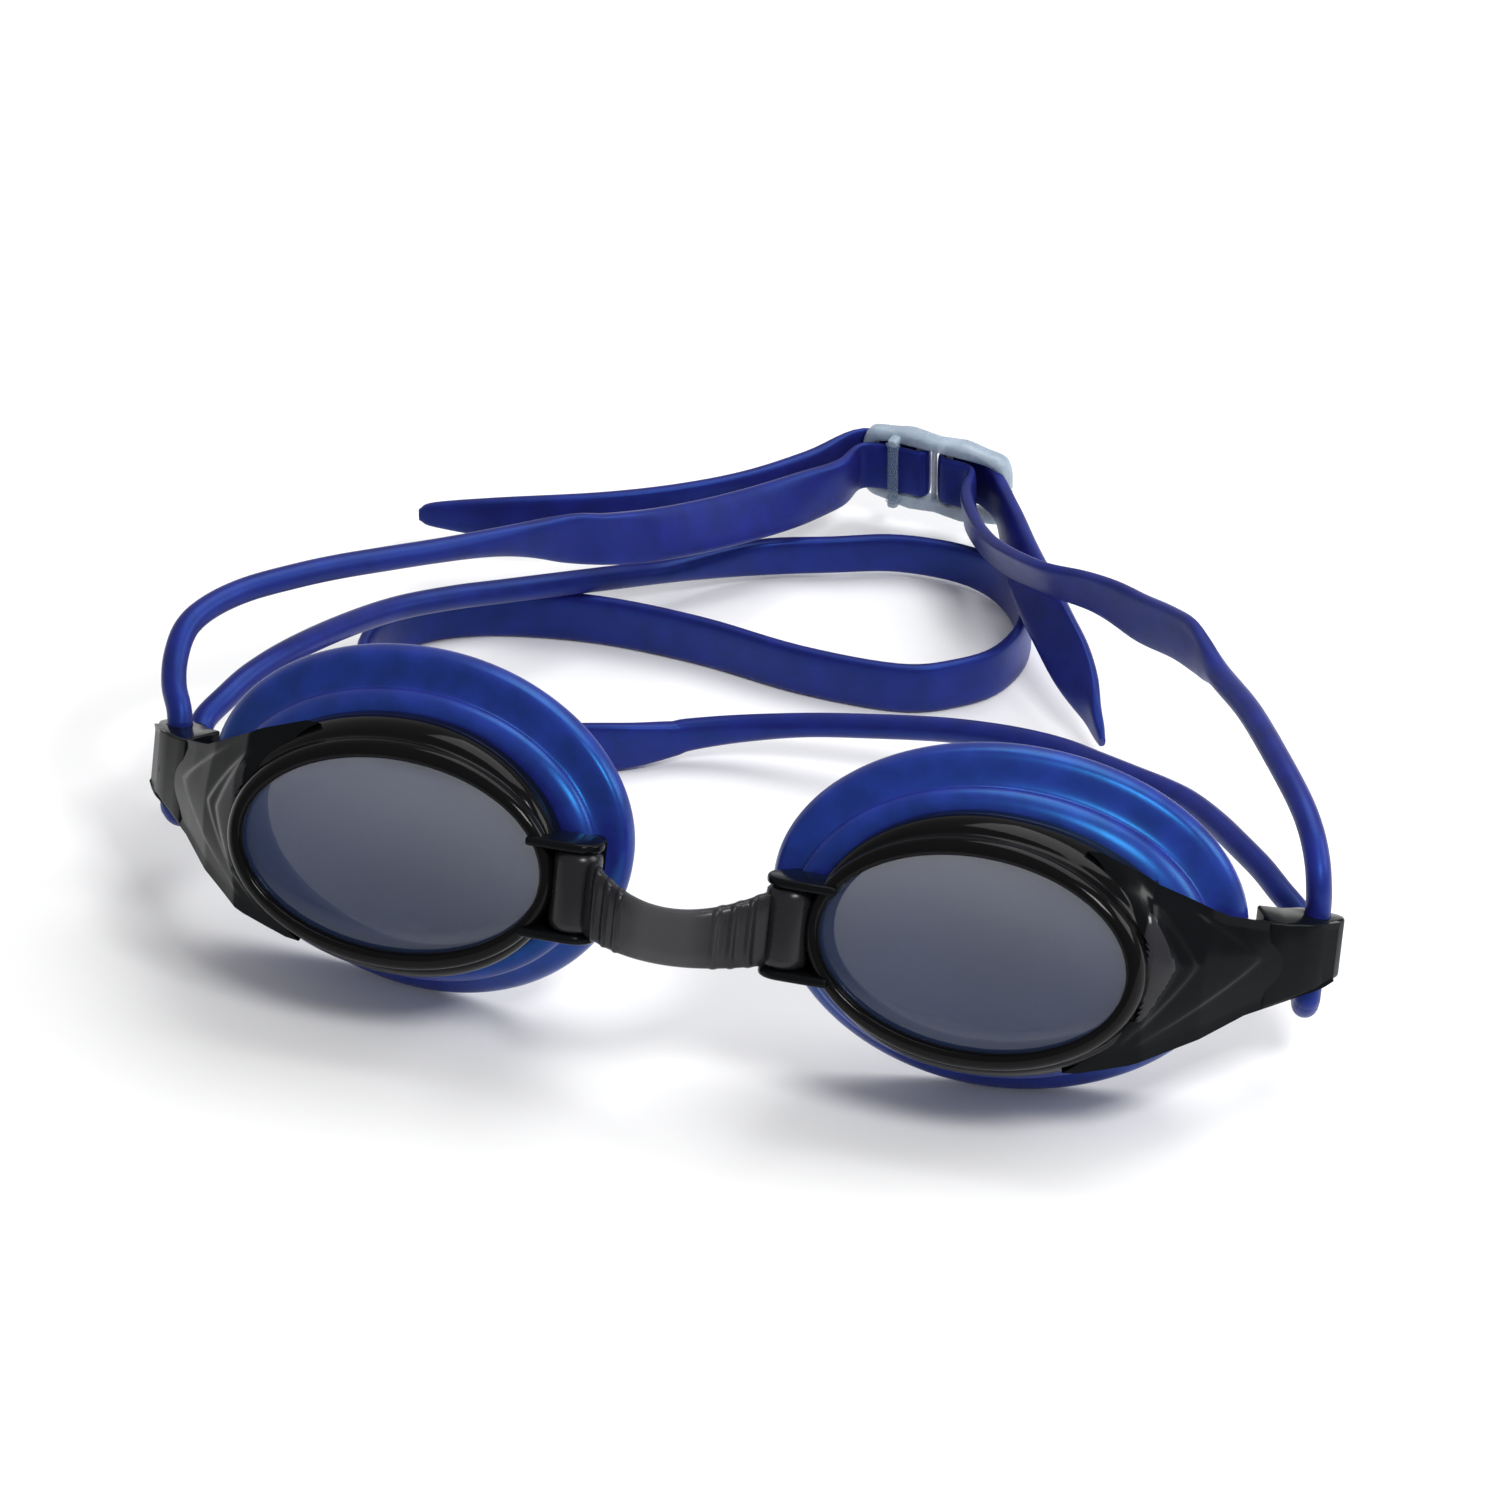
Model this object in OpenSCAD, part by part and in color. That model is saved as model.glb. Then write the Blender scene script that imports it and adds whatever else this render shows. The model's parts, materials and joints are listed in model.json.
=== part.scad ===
// Swim goggles lying on a table: two eyecups on a soft nose bridge, one long silicone strap that threads
// both temples, and a clear ladder buckle. Millimetres. The wearer would look along -Y, +Z is up, and
// z = 0 is the table.

/* [Eyecups] */
// Distance between the centres of the two lenses
lens_spacing = 75.6; // [75:0.1:76.2]
// Width of the clear window in each frame
window_w = 39.3; // [38:0.1:39.6]
// Height of the clear window in each frame
window_h = 24.7; // [23:0.1:25]
// Thickness of each lens
lens_t = 1.8; // [1.4:0.1:1.9]
// How far the goggles lean back from upright, in degrees
lean = 21; // [20.5:0.5:21.5]

/* [Gaskets] */
// Width of the flange that seals against the face
flange_w = 59.1; // [58.5:0.1:59.5]
// Height of the flange that seals against the face
flange_h = 45.3; // [44.9:0.1:45.5]

/* [Nose bridge] */
// Diameter of the upright post that the bridge turns on
post_d = 3; // [2.4:0.1:3.2]
// Running clearance between the post and its bore, on the radius
post_gap = 0.05; // [0.03:0.01:0.1]
// How far the arch of the bridge stands forward of its ends
arch_out = 6.5; // [4:0.5:8]

/* [Strap] */
// Width of the flat stretches of the strap
band_w = 7.2; // [6.8:0.1:7.3]
// Thickness of the flat stretches of the strap
band_t = 1.9; // [1.5:0.1:2]
// Diameter of the round stretches near the temples
cord_d = 3.3; // [2.8:0.1:3.4]

/* [Buckle] */
// Length of the buckle along the strap
buckle_l = 22; // [21.6:0.1:22.4]
// Height of the buckle across the strap
buckle_h = 12; // [11.6:0.1:12.6]
// Diameter of the bars that the strap folds round
bar_d = 1; // [0.8:0.1:1.1]

/* [Hidden] */

smoke = [0.10, 0.10, 0.11, 0.8];
smoke_pane = [0.30, 0.32, 0.35, 0.6];
strap_blue = [0.13, 0.16, 0.45];
frosted = [0.72, 0.76, 0.80, 0.7];

left = -1;
right = 1;
around = 48;
fit = 0.05;

// Flange: half widths to the nose and to the temple, half heights above and below its middle
flange_nasal = flange_w / 2 - 0.85;
flange_temple = flange_w / 2 + 0.85;
flange_up = flange_h / 2 - 1.95;
flange_down = flange_h / 2 + 1.95;
flange_rise = 3;
flange_y = 17;
flange_tip = -1.6;

// The goggles rest on the lower edge of the flanges, and the whole part is centred on the origin in plan
rest_z = flange_down - flange_rise;
rest_y = flange_y - flange_tip * rest_z / 22;
lens_height = rest_z * cos(lean) + rest_y * sin(lean) + 0.08;
plan_centre_y = 64;

// ---- Goggles frame: x along the width, y back from the lenses, z up ----
module place_goggles() {
    translate([0, -plan_centre_y, lens_height]) rotate([-lean, 0, 0]) children();
}
module place_cup(side) {
    place_goggles() mirror([side == left ? 1 : 0, 0, 0]) translate([lens_spacing / 2, 0, 0]) children();
}
function on_table(p) = [
    p.x,
    p.y * cos(lean) + p.z * sin(lean),
    p.z * cos(lean) - p.y * sin(lean) + lens_height
];

// A level ring of the cup: half widths to the nose and to the temple, half height, depth, and the depth
// that it gains at the temple
function oval(nasal, temple, high, depth, slant) = [nasal, temple, high, high, 0, depth, slant, 0, 0];
// A ring with its own half heights above and below, rise, bend towards the ends and tip
function cup_ring(r) = [
    for (i = [0:around - 1])
        let (a = 360 * i / around, x = (cos(a) < 0 ? r[0] : r[1]) * cos(a))
        let (z = r[4] + (sin(a) < 0 ? r[3] : r[2]) * sin(a))
        [x, r[5] + r[6] * x / r[1] + r[7] * pow(x / 28, 2) + r[8] * z / 22, z]
];
// A closed skin through a loop of rings
module ring_loop(rings) {
    points = [for (r = rings) each cup_ring(r)];
    m = len(rings);
    faces = [
        for (j = [0:m - 1], i = [0:around - 1])
            let (a = j * around, b = (j + 1) % m * around, k = (i + 1) % around)
            each [[a + i, b + k, b + i], [a + i, a + k, b + k]]
    ];
    polyhedron(points, faces);
}

win_x = window_w / 2;
win_z = window_h / 2;
rim_front = -0.6;
seat_y = 0.8;
pocket = 0.7;
module lens(side) {
    color(smoke_pane) place_cup(side) {
        face = [for (p = cup_ring(oval(win_x + pocket, win_x + pocket, win_z + pocket, 0, 0))) [p.x, p.z]];
        translate([0, seat_y + lens_t, 0]) rotate([90, 0, 0]) linear_extrude(lens_t) polygon(face);
    }
}

// Seat that the gasket's lip is pressed into, shared by the frame and the gasket
lip_nasal = win_x + 0.5;
lip_temple = win_x + 3.5;
lip_z = win_z + 1.8;
rear_y = 8.5;
rear_slant = 3;
module frame_shell() {
    ring_loop([
        oval(win_x + 1.2, win_x + 1.2, win_z + 1.2, rim_front, 0),
        oval(win_x + 1.7, win_x + 2.2, win_z + 2.2, 0.8, 0.2),
        oval(win_x + 1.6, win_x + 3.4, win_z + 3.0, 3.0, 1.2),
        oval(win_x + 1.9, win_x + 4.6, win_z + 4.2, 5.5, 2.2),
        oval(win_x + 1.9, win_x + 5.2, win_z + 4.2, rear_y, rear_slant),
        oval(lip_nasal, lip_temple, lip_z, rear_y, rear_slant),
        oval(lip_nasal, lip_temple - 0.8, lip_z, 4.6, 1.5),
        oval(win_x + pocket, win_x + pocket, win_z + pocket, seat_y + lens_t, 0),
        oval(win_x + pocket, win_x + pocket, win_z + pocket, seat_y, 0),
        oval(win_x, win_x, win_z, seat_y, 0),
        oval(win_x, win_x, win_z, rim_front, 0)
    ]);
}

// Temple: where the strap's two legs stand, measured from the lens centre
leg_out = [37.6, 26.8];
leg_in = [36.1, 31.8];
channel_d = cord_d + 0.4;
wing_top = 13;
module temple_wing() {
    plan = [
        [21, 3.5], [23.5, 4.5], [27.5, 8.5], [31.5, 14], [35.5, 19.6], [39, 23.2], [40.4, 26], [41, 28.4],
        [40.6, 29.4], [39.6, 29.9], [36.5, 29.5], [34.6, 28.6], [33.9, 27], [33, 25.4], [30.6, 22.6],
        [28.6, 19], [26.2, 14.6], [24, 11.8]
    ];
    side_view = [
        [19, 12.6], [19.7, 12.3], [25.2, 9.3], [29.2, 7], [32.8, 6], [36, 5.3], [42, 5.1], [42, -0.5],
        [41.2, -2.2], [39.9, -3.2], [38, -3.9], [35, -5], [31.9, -6.1], [27.5, -8.8], [21, -12], [19, -12.4]
    ];
    intersection() {
        translate([0, 0, -wing_top]) linear_extrude(2 * wing_top) polygon(plan);
        translate([0, 40, 0]) rotate([90, 0, 0]) linear_extrude(40) polygon(side_view);
    }
}

// Knuckle: an upright post on the frame, between two ears, that the bridge's end turns on
knuckle = [13.8, 1.8];
knuckle_r = 3.1;
ear_r = 3.1;
ear_t = 1.2;
knuckle_top = 4.6;
knuckle_bottom = -6;
module knuckle_ears() {
    post = [knuckle.x - lens_spacing / 2, knuckle.y];
    for (z = [knuckle_top, knuckle_bottom - ear_t]) {
        translate([post.x, post.y, z]) cylinder(h = ear_t, r = ear_r, $fn = 48);
        translate([post.x, post.y - ear_r, z]) cube([6.6, 2 * ear_r, ear_t]);
    }
    translate([post.x, post.y, knuckle_bottom - ear_t / 2])
        cylinder(h = knuckle_top - knuckle_bottom + ear_t, d = post_d, $fn = 48);
}
module frame(side) {
    color(smoke) place_cup(side) difference() {
        union() {
            difference() {
                frame_shell();
                translate([knuckle.x - lens_spacing / 2, knuckle.y, knuckle_bottom])
                    cylinder(h = knuckle_top - knuckle_bottom, r = knuckle_r + 0.25, $fn = 48);
            }
            knuckle_ears();
            temple_wing();
        }
        translate([leg_out.x, leg_out.y, -wing_top]) cylinder(h = 2 * wing_top, d = channel_d, $fn = 48);
    }
}

// The flange that rests on the face, drawn in by inset and set further back by back
function flange_ring(inset, back) = [
    flange_nasal - inset, flange_temple - inset, flange_up - inset, flange_down - inset, flange_rise,
    flange_y + back, 4.9, -1.3, flange_tip
];
module gasket(side) {
    color(strap_blue) place_cup(side) ring_loop([
        oval(lip_nasal + fit, lip_temple + fit - 0.3, lip_z + fit, 6.5, 2.4),
        oval(lip_nasal + fit, lip_temple + fit, lip_z + fit, rear_y + 0.2, rear_slant),
        oval(win_x + 3.0, win_x + 5.4, win_z + 4.6, rear_y + 0.4, rear_slant + 0.4),
        [win_x + 5.0, win_x + 7.0, win_z + 5.6, win_z + 6.6, 0.7, 10.9, 4.1, -0.3, -0.5],
        [win_x + 5.3, win_x + 7.4, win_z + 5.4, win_z + 7.4, 1.4, 12.8, 4.5, -0.7, -0.9],
        flange_ring(1.2, -1.9),
        flange_ring(0, 0),
        flange_ring(0.9, 1.5),
        flange_ring(3.6, 1.7),
        flange_ring(6, -1.2),
        oval(win_x - 0.2, win_x + 1.6, win_z + 1.0, 10.5, 4),
        oval(win_x - 0.8, win_x + 1.8, win_z + 0.5, 6.5, 2.4)
    ]);
}

// ---- Swept soft strips ----
sides = 12;
function unit(v) = v / norm(v);
function upright(t) = unit(cross(t, [0, 0, 1]));
function across(ref, t) = unit(ref - (ref * t) * t);
// A row of a strip: [x, y, z, width, thickness, hold, held direction]. Hold 0 stands the strip on edge;
// hold 1 turns its thickness to the held direction.
function facing(row, t) =
    let (flat = upright(abs(t.z) > 0.98 ? [t.x, t.y + 0.3, t.z] : t), ref = row[6])
    row[5] == 0
        ? flat
        : unit((1 - row[5]) * (flat * ref < 0 ? -flat : flat) + row[5] * across(ref, t));
// Directions of the thickness along a strip, each kept within a right angle of the one before
function steady(s, i = 0, kept = []) =
    i == len(s) ? kept : steady(s, i + 1, concat(kept, [i > 0 && s[i] * kept[i - 1] < 0 ? -s[i] : s[i]]));
function section(row, t, s) =
    let (u = cross(t, s), round = row[3] < row[4] * 1.3 ? 1 : 0.55)
    [
        for (i = [0:sides - 1])
            let (a = 360 * i / sides, c = cos(a), n = sin(a))
            [row.x, row.y, row.z]
                + s * row[4] / 2 * sign(c) * pow(abs(c), round)
                + u * row[3] / 2 * sign(n) * pow(abs(n), round)
    ];
// A strip through rows, whose end faces take their direction from the points before and after it
module strip(rows, before, after) {
    m = len(rows);
    spot = function (i) i < 0 ? before : i >= m ? after : [rows[i].x, rows[i].y, rows[i].z];
    along = [for (i = [0:m - 1]) unit(spot(i + 1) - spot(i - 1))];
    thick = steady([for (i = [0:m - 1]) facing(rows[i], along[i])]);
    points = [for (i = [0:m - 1]) each section(rows[i], along[i], thick[i])];
    skin = [
        for (j = [0:m - 2], i = [0:sides - 1])
            let (a = j * sides, b = a + sides, k = (i + 1) % sides)
            each [[a + i, b + i, b + k], [a + i, b + k, a + k]]
    ];
    caps = [[for (i = [0:sides - 1]) i], [for (i = [sides - 1:-1:0]) (m - 1) * sides + i]];
    translate([0, -plan_centre_y, 0]) polyhedron(points, concat(skin, caps));
}
function at(row) = [row.x, row.y, row.z];
outward = [1, 0, 0];
function flat(x, y, z) = [x, y, z, band_w, band_t, 0, outward];
function half(x, y, z) = [x, y, z, band_w * 0.72, band_t * 1.25, 0, outward];
function cord(x, y, z, hold = 0) = [x, y, z, cord_d, cord_d, hold, outward];
function tip(x, y, z, w, t) = [x, y, z, w, t, 0, outward];
function tapered(x, y, z, w, t, hold, direction) = [x, y, z, w, t, hold, direction];
function lean_to(x, y, z, hold, direction) = tapered(x, y, z, band_w, band_t, hold, direction);
facing_side = [0.75, -0.36, 0.55];
facing_up = [0.62, 0.57, 0.545];
facing_down = [0.63, 0.51, -0.57];

// The strap's turn round the foot of each temple, in the upright plane through its two legs
turn_r = norm(leg_out - leg_in) / 2;
turn_c = (leg_out + leg_in) / 2;
turn_dir = unit(leg_out - leg_in);
turn_z = -4.4;
leg_top = [5.6, 1.5];
function turn_row(side, d, z) =
    let (p = turn_c + d * turn_dir, q = on_table([side * (p.x + lens_spacing / 2), p.y, z]))
    [q.x, q.y, q.z, cord_d, cord_d, 1, [-side * turn_dir.y, turn_dir.x, 0]];
function turn_rows(side) = concat(
    [turn_row(side, turn_r, leg_top[0]), turn_row(side, turn_r, turn_z)],
    [for (a = [30:30:150]) turn_row(side, turn_r * cos(a), turn_z - turn_r * sin(a))],
    [turn_row(side, -turn_r, turn_z), turn_row(side, -turn_r, leg_top[1])]
);
function last(rows) = rows[len(rows) - 1];

// Route of the strap on the table, from the left tail to the right tail, chosen by hand
upper_left_route = [
    flat(-15.1, 125.9, 10), lean_to(-18.3, 119.6, 11, 0.5, facing_side),
    lean_to(-21.8, 112.5, 12.6, 0.8, facing_side), lean_to(-25.3, 104.9, 14.8, 0.9, facing_side),
    lean_to(-28.8, 98, 17, 0.8, facing_side), lean_to(-32.5, 91.7, 19.2, 0.5, facing_side),
    lean_to(-36.6, 86.8, 21, 0.2, facing_side), flat(-40.4, 83.6, 22.4), half(-44.5, 79.9, 23.8),
    cord(-48.9, 75.3, 25.2), cord(-54.8, 69.1, 26.6), cord(-60, 63.6, 27.8), cord(-64.6, 58.7, 28.8),
    cord(-68.7, 53.9, 29.6), cord(-73.4, 48.2, 30.2), cord(-76.5, 42.7, 30.4), cord(-78.1, 38.1, 29.8),
    cord(-78.2, 34, 28), cord(-77.3, 30.4, 25.8)
];
lower_left_route = [
    cord(-74.6, 33.2, 18.8), cord(-73, 37.9, 20), cord(-71.3, 43.4, 20.4), cord(-68.8, 51.1, 19.6),
    cord(-65.5, 61.7, 17.2), cord(-61.4, 71.8, 14.6), cord(-55.9, 79, 12.9), cord(-50.1, 85.1, 11.3),
    cord(-44.1, 91.1, 9.8), cord(-38.5, 98.4, 7.4), cord(-33.4, 104.9, 5.3)
];
lower_band_route = [
    half(-23.5, 113.6, 3.9), tip(-13.9, 117.4, 3.8, 5.4, band_t), tip(-4.9, 120.4, 3.8, 5.6, band_t),
    tip(5.1, 119.9, 3.8, 6, band_t), flat(12.1, 115.4, 3.8), flat(16.6, 105.9, 3.8), flat(15.6, 96.9, 3.8),
    flat(10.6, 91.4, 3.8), flat(3.6, 88.4, 3.8), flat(-9.9, 88.9, 3.8), flat(-24.9, 91.9, 3.8),
    flat(-39.4, 92.9, 3.8), flat(-52.9, 90.9, 3.8), flat(-61.4, 86.9, 3.8), flat(-65.9, 80.9, 3.8),
    flat(-66.4, 72.9, 3.8), flat(-61.4, 65.9, 3.8), flat(-52.9, 61.9, 3.8), flat(-40.9, 60.9, 3.8),
    flat(-28.9, 63.9, 3.8), half(-22, 67.6, 3.9)
];
lower_right_route = [
    cord(-19.6, 68.9, 4.4), cord(-13, 70.8, 5.4), cord(-4.3, 71.6, 7), cord(4.7, 71.5, 8.6),
    cord(15.2, 70.9, 10.4), cord(24.4, 69.1, 12), cord(31.9, 66.3, 13.4), cord(38.2, 62.4, 14.8),
    cord(44.4, 58.4, 16.2), cord(48.4, 55.8, 17.1), cord(52.6, 52.6, 18), cord(57.2, 48, 18.8),
    cord(61.5, 43.3, 19.2), cord(65.3, 39.3, 19.2), cord(68.6, 35.6, 18.8), cord(71.7, 32.7, 18)
];
upper_right_route = [
    cord(75.2, 27.9, 26.2), cord(74.3, 30.2, 28.6), cord(72.7, 33.4, 30.4), cord(70.2, 37.8, 31.4),
    cord(65.6, 45.5, 31.6), cord(59.2, 56.6, 30.6), cord(53.7, 64.9, 29.2), half(50.3, 70.1, 28.2),
    flat(47.1, 74.9, 27.2), flat(43.3, 79.2, 25.8), flat(38.2, 84.1, 23.8),
    lean_to(33.1, 88.7, 22.5, 0.3, facing_up), lean_to(28.3, 92.7, 21, 0.7, facing_up),
    lean_to(22.8, 96.2, 19.4, 1, facing_up), lean_to(17.7, 101.1, 17.3, 1, facing_up),
    lean_to(12.6, 107.3, 14.8, 0.8, facing_up), lean_to(7.8, 115, 12.4, 0.5, facing_up),
    lean_to(3.9, 123.4, 10.6, 0.2, facing_up)
];
tail_left_route = [
    tip(-68, 102, 9.9, 1.6, 0.9), tip(-66, 102.6, 9.9, 3.6, 1.5), tip(-57.5, 104.4, 9.9, 6, 1.8),
    flat(-44.5, 108.6, 9.9), flat(-35, 113.6, 9.9), flat(-26.8, 119.6, 9.9), flat(-20, 127, 9.9)
];
tail_right_route = [
    flat(7.1, 128.1, 9.9), lean_to(10.4, 121, 10.5, 0.3, facing_down),
    lean_to(14.4, 112.2, 11, 0.7, facing_down), lean_to(18.8, 104.2, 11, 1, facing_down),
    lean_to(22.8, 98, 10.2, 1, facing_down), lean_to(26.3, 93.4, 8.6, 0.9, facing_down),
    tapered(29.6, 88.9, 6.8, 5.4, 1.8, 0.7, facing_down), tip(32.2, 85.1, 4.8, 3.4, 1.5),
    tip(33.4, 82.9, 4.2, 1.6, 0.9)
];

// ---- Buckle: u along its length, v back through it, w up ----
buckle_at = [-2.9, 132.1, 9.9];
buckle_turn = -9;
function in_buckle(u, v) = buckle_at + [u * cos(buckle_turn) - v * sin(buckle_turn),
                                        u * sin(buckle_turn) + v * cos(buckle_turn), 0];
fold_t = 1.05;
fold_r = bar_d / 2 + 0.1 + fold_t / 2;
fold_bars = [-2.75, 1.75];
centre_bar = -0.5;
centre_d = 0.8;
guard = [-5.65, -2.5];
guard_d = 0.9;
slit = 0.8;
end_bar = buckle_l / 2 - bar_d / 2;
rail_t = 2.6;
slot_h = band_w + 0.8;
function layer(u, v) = let (p = in_buckle(u, v)) [p.x, p.y, p.z, band_w, fold_t, 0, outward];
// The strap comes in through front, folds round one bar and goes back out through rear
function fold_rows(side, front, rear) =
    let (bar = fold_bars[side == left ? 0 : 1])
    concat(
        [for (p = front) layer(p[0], p[1])],
        [layer(bar, -fold_r)],
        [for (a = [-60:30:60]) layer(bar - side * fold_r * cos(a), fold_r * sin(a))],
        [layer(bar, fold_r)],
        [for (p = rear) layer(p[0], p[1])]
    );
fold_left_rows = fold_rows(left, [[-10.6, -3], [-8, -1.45]], [[-11.7, fold_r]]);
fold_right_rows = fold_rows(right, [[5.8, -1.7]], [[5.2, 0.95], [7.8, -0.3]]);
module buckle() {
    color(frosted) translate(buckle_at - [0, plan_centre_y, 0]) rotate([0, 0, buckle_turn]) {
        corner = 2.4;
        difference() {
            rotate([90, 0, 0]) linear_extrude(rail_t, center = true) {
                square([buckle_l - 2 * corner, buckle_h], center = true);
                square([buckle_l, buckle_h - 2 * corner], center = true);
                for (x = [left, right], y = [left, right])
                    translate([x * (buckle_l / 2 - corner), y * (buckle_h / 2 - corner)])
                        circle(r = corner, $fn = 48);
            }
            cube([buckle_l + 1, rail_t + 1, slot_h], center = true);
        }
        for (u = concat([-end_bar], fold_bars))
            translate([u, 0, 0]) cylinder(h = slot_h + 0.4, d = bar_d, center = true, $fn = 32);
        for (w = [-1, 1])
            translate([end_bar, 0, w * (slot_h + 0.4 + slit) / 4])
                cylinder(h = (slot_h + 0.4 - slit) / 2, d = bar_d, center = true, $fn = 32);
        translate([centre_bar, 0, 0]) cylinder(h = slot_h + 0.4, d = centre_d, center = true, $fn = 32);
        translate([guard.x, guard.y, 0]) cylinder(h = slot_h + 0.4, d = guard_d, center = true, $fn = 32);
        for (w = [-1, 1])
            translate([guard.x, guard.y / 2, w * (slot_h + buckle_h) / 4])
                cube([1.6, 1.2 - guard.y, (buckle_h - slot_h) / 2], center = true);
    }
}

// ---- Nose bridge ----
arm_z = -1;
arm_end = knuckle.x - 2.4;
function arm_row(x) =
    let (k = 1 - pow(abs(x) / arm_end, 2))
    [x, knuckle.y - 1 - arch_out * k, arm_z - 1.2 * k, 9.6 - 3.2 * k, 3.4 - 0.4 * k];
module bridge_arch() {
    rows = [for (x = [-arm_end:arm_end / 7:arm_end + 0.01]) arm_row(x)];
    m = len(rows);
    points = [
        for (r = rows, i = [0:sides - 1])
            let (a = 360 * i / sides, c = cos(a), n = sin(a), p = 0.6)
            [r.x, r.y + r[4] / 2 * sign(c) * pow(abs(c), p), r.z + r[3] / 2 * sign(n) * pow(abs(n), p)]
    ];
    skin = [
        for (j = [0:m - 2], i = [0:sides - 1])
            let (a = j * sides, b = a + sides, k = (i + 1) % sides)
            each [[a + i, b + i, b + k], [a + i, b + k, a + k]]
    ];
    caps = [[for (i = [0:sides - 1]) i], [for (i = [sides - 1:-1:0]) (m - 1) * sides + i]];
    polyhedron(points, concat(skin, caps));
}
module nose_bridge() {
    play = 0.2;
    color(smoke) place_goggles() difference() {
        union() {
            bridge_arch();
            for (s = [left, right])
                translate([s * knuckle.x, knuckle.y, knuckle_bottom + play])
                    cylinder(h = knuckle_top - knuckle_bottom - 2 * play, r = knuckle_r, $fn = 48);
        }
        for (s = [left, right])
            translate([s * knuckle.x, knuckle.y, knuckle_bottom - 1])
                cylinder(h = knuckle_top - knuckle_bottom + 2, r = post_d / 2 + post_gap, $fn = 48);
    }
}

// ---- The strap's pieces, each from one hold to the next ----
module strap_piece(rows, before, after) {
    color(strap_blue) strip(rows, before, after);
}
turn_left_rows = turn_rows(left);
turn_right_rows = turn_rows(right);
upper_left_rows = concat([last([for (i = [len(fold_left_rows) - 1:-1:0]) fold_left_rows[i]])],
                         upper_left_route, [turn_left_rows[0]]);
upper_right_rows = concat([turn_right_rows[0]], upper_right_route, [fold_right_rows[0]]);
lower_left_rows = concat([last(turn_left_rows)], lower_left_route, [lower_band_route[0]]);
lower_right_rows = concat([last(lower_band_route)], lower_right_route, [last(turn_right_rows)]);
tail_left_rows = concat(tail_left_route, [last(fold_left_rows)]);
tail_right_rows = concat([last(fold_right_rows)], tail_right_route);

module strap_turn_left() { strap_piece(turn_left_rows, at(last(upper_left_route)), at(lower_left_route[0])); }
module strap_turn_right() { strap_piece(turn_right_rows, at(upper_right_route[0]), at(last(lower_right_route))); }
module strap_lower_left() {
    strap_piece(lower_left_rows, at(turn_left_rows[len(turn_left_rows) - 2]), at(lower_band_route[1]));
}
module strap_lower_band() {
    strap_piece(lower_band_route, at(last(lower_left_route)), at(lower_right_route[0]));
}
module strap_lower_right() {
    strap_piece(lower_right_rows, at(lower_band_route[len(lower_band_route) - 2]),
                at(turn_right_rows[len(turn_right_rows) - 2]));
}
module strap_upper_left() { strap_piece(upper_left_rows, at(fold_left_rows[1]), at(turn_left_rows[1])); }
module strap_upper_right() { strap_piece(upper_right_rows, at(turn_right_rows[1]), at(fold_right_rows[1])); }
module strap_fold_left() {
    strap_piece(fold_left_rows, at(upper_left_route[0]), at(last(tail_left_route)));
}
module strap_fold_right() {
    strap_piece(fold_right_rows, at(last(upper_right_route)), at(tail_right_route[0]));
}
module strap_tail_left() {
    strap_piece(tail_left_rows, 2 * at(tail_left_rows[0]) - at(tail_left_rows[1]),
                at(fold_left_rows[len(fold_left_rows) - 2]));
}
module strap_tail_right() {
    strap_piece(tail_right_rows, at(fold_right_rows[len(fold_right_rows) - 2]),
                2 * at(last(tail_right_rows)) - at(tail_right_rows[len(tail_right_rows) - 2]));
}

nose_bridge();
frame(left);  // frame_left
frame(right);  // frame_right
lens(left);  // lens_left
lens(right);  // lens_right
gasket(left);  // gasket_left
gasket(right);  // gasket_right
strap_turn_left();
strap_turn_right();
strap_lower_left();
strap_lower_band();
strap_lower_right();
strap_upper_left();
strap_upper_right();
buckle();
strap_fold_left();
strap_fold_right();
strap_tail_left();
strap_tail_right();
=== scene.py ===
"""Swim goggles: smooth shells, a silicone strap and a studio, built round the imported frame.

Lengths in the outlines below are millimetres. An eyecup's outlines are in the cup's own axes: x outward,
y back from the lens and z up the lens. The strap and the buckle are in the plan's axes, as in part.scad.
"""

import json
import math

import bmesh
import bpy
import numpy as np
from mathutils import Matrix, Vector


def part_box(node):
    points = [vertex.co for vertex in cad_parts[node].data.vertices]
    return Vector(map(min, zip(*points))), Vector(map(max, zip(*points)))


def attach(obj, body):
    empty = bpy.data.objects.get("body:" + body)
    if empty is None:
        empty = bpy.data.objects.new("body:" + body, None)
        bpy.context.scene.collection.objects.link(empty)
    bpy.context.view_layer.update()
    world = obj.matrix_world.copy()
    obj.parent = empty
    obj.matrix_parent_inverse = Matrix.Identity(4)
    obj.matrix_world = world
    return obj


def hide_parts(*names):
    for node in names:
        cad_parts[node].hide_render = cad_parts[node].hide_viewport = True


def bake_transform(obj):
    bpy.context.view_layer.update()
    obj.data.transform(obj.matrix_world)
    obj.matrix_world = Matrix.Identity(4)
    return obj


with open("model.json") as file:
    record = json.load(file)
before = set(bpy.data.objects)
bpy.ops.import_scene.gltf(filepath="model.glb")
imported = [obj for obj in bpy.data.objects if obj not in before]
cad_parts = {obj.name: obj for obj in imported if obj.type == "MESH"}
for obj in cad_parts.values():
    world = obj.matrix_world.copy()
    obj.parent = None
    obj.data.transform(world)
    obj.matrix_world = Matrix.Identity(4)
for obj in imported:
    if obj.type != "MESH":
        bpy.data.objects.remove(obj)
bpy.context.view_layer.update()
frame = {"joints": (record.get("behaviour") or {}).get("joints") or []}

MM = 0.001
JOINTS = {joint["name"]: joint for joint in frame["joints"]}
SIDES = {"left": -1, "right": 1}

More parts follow.
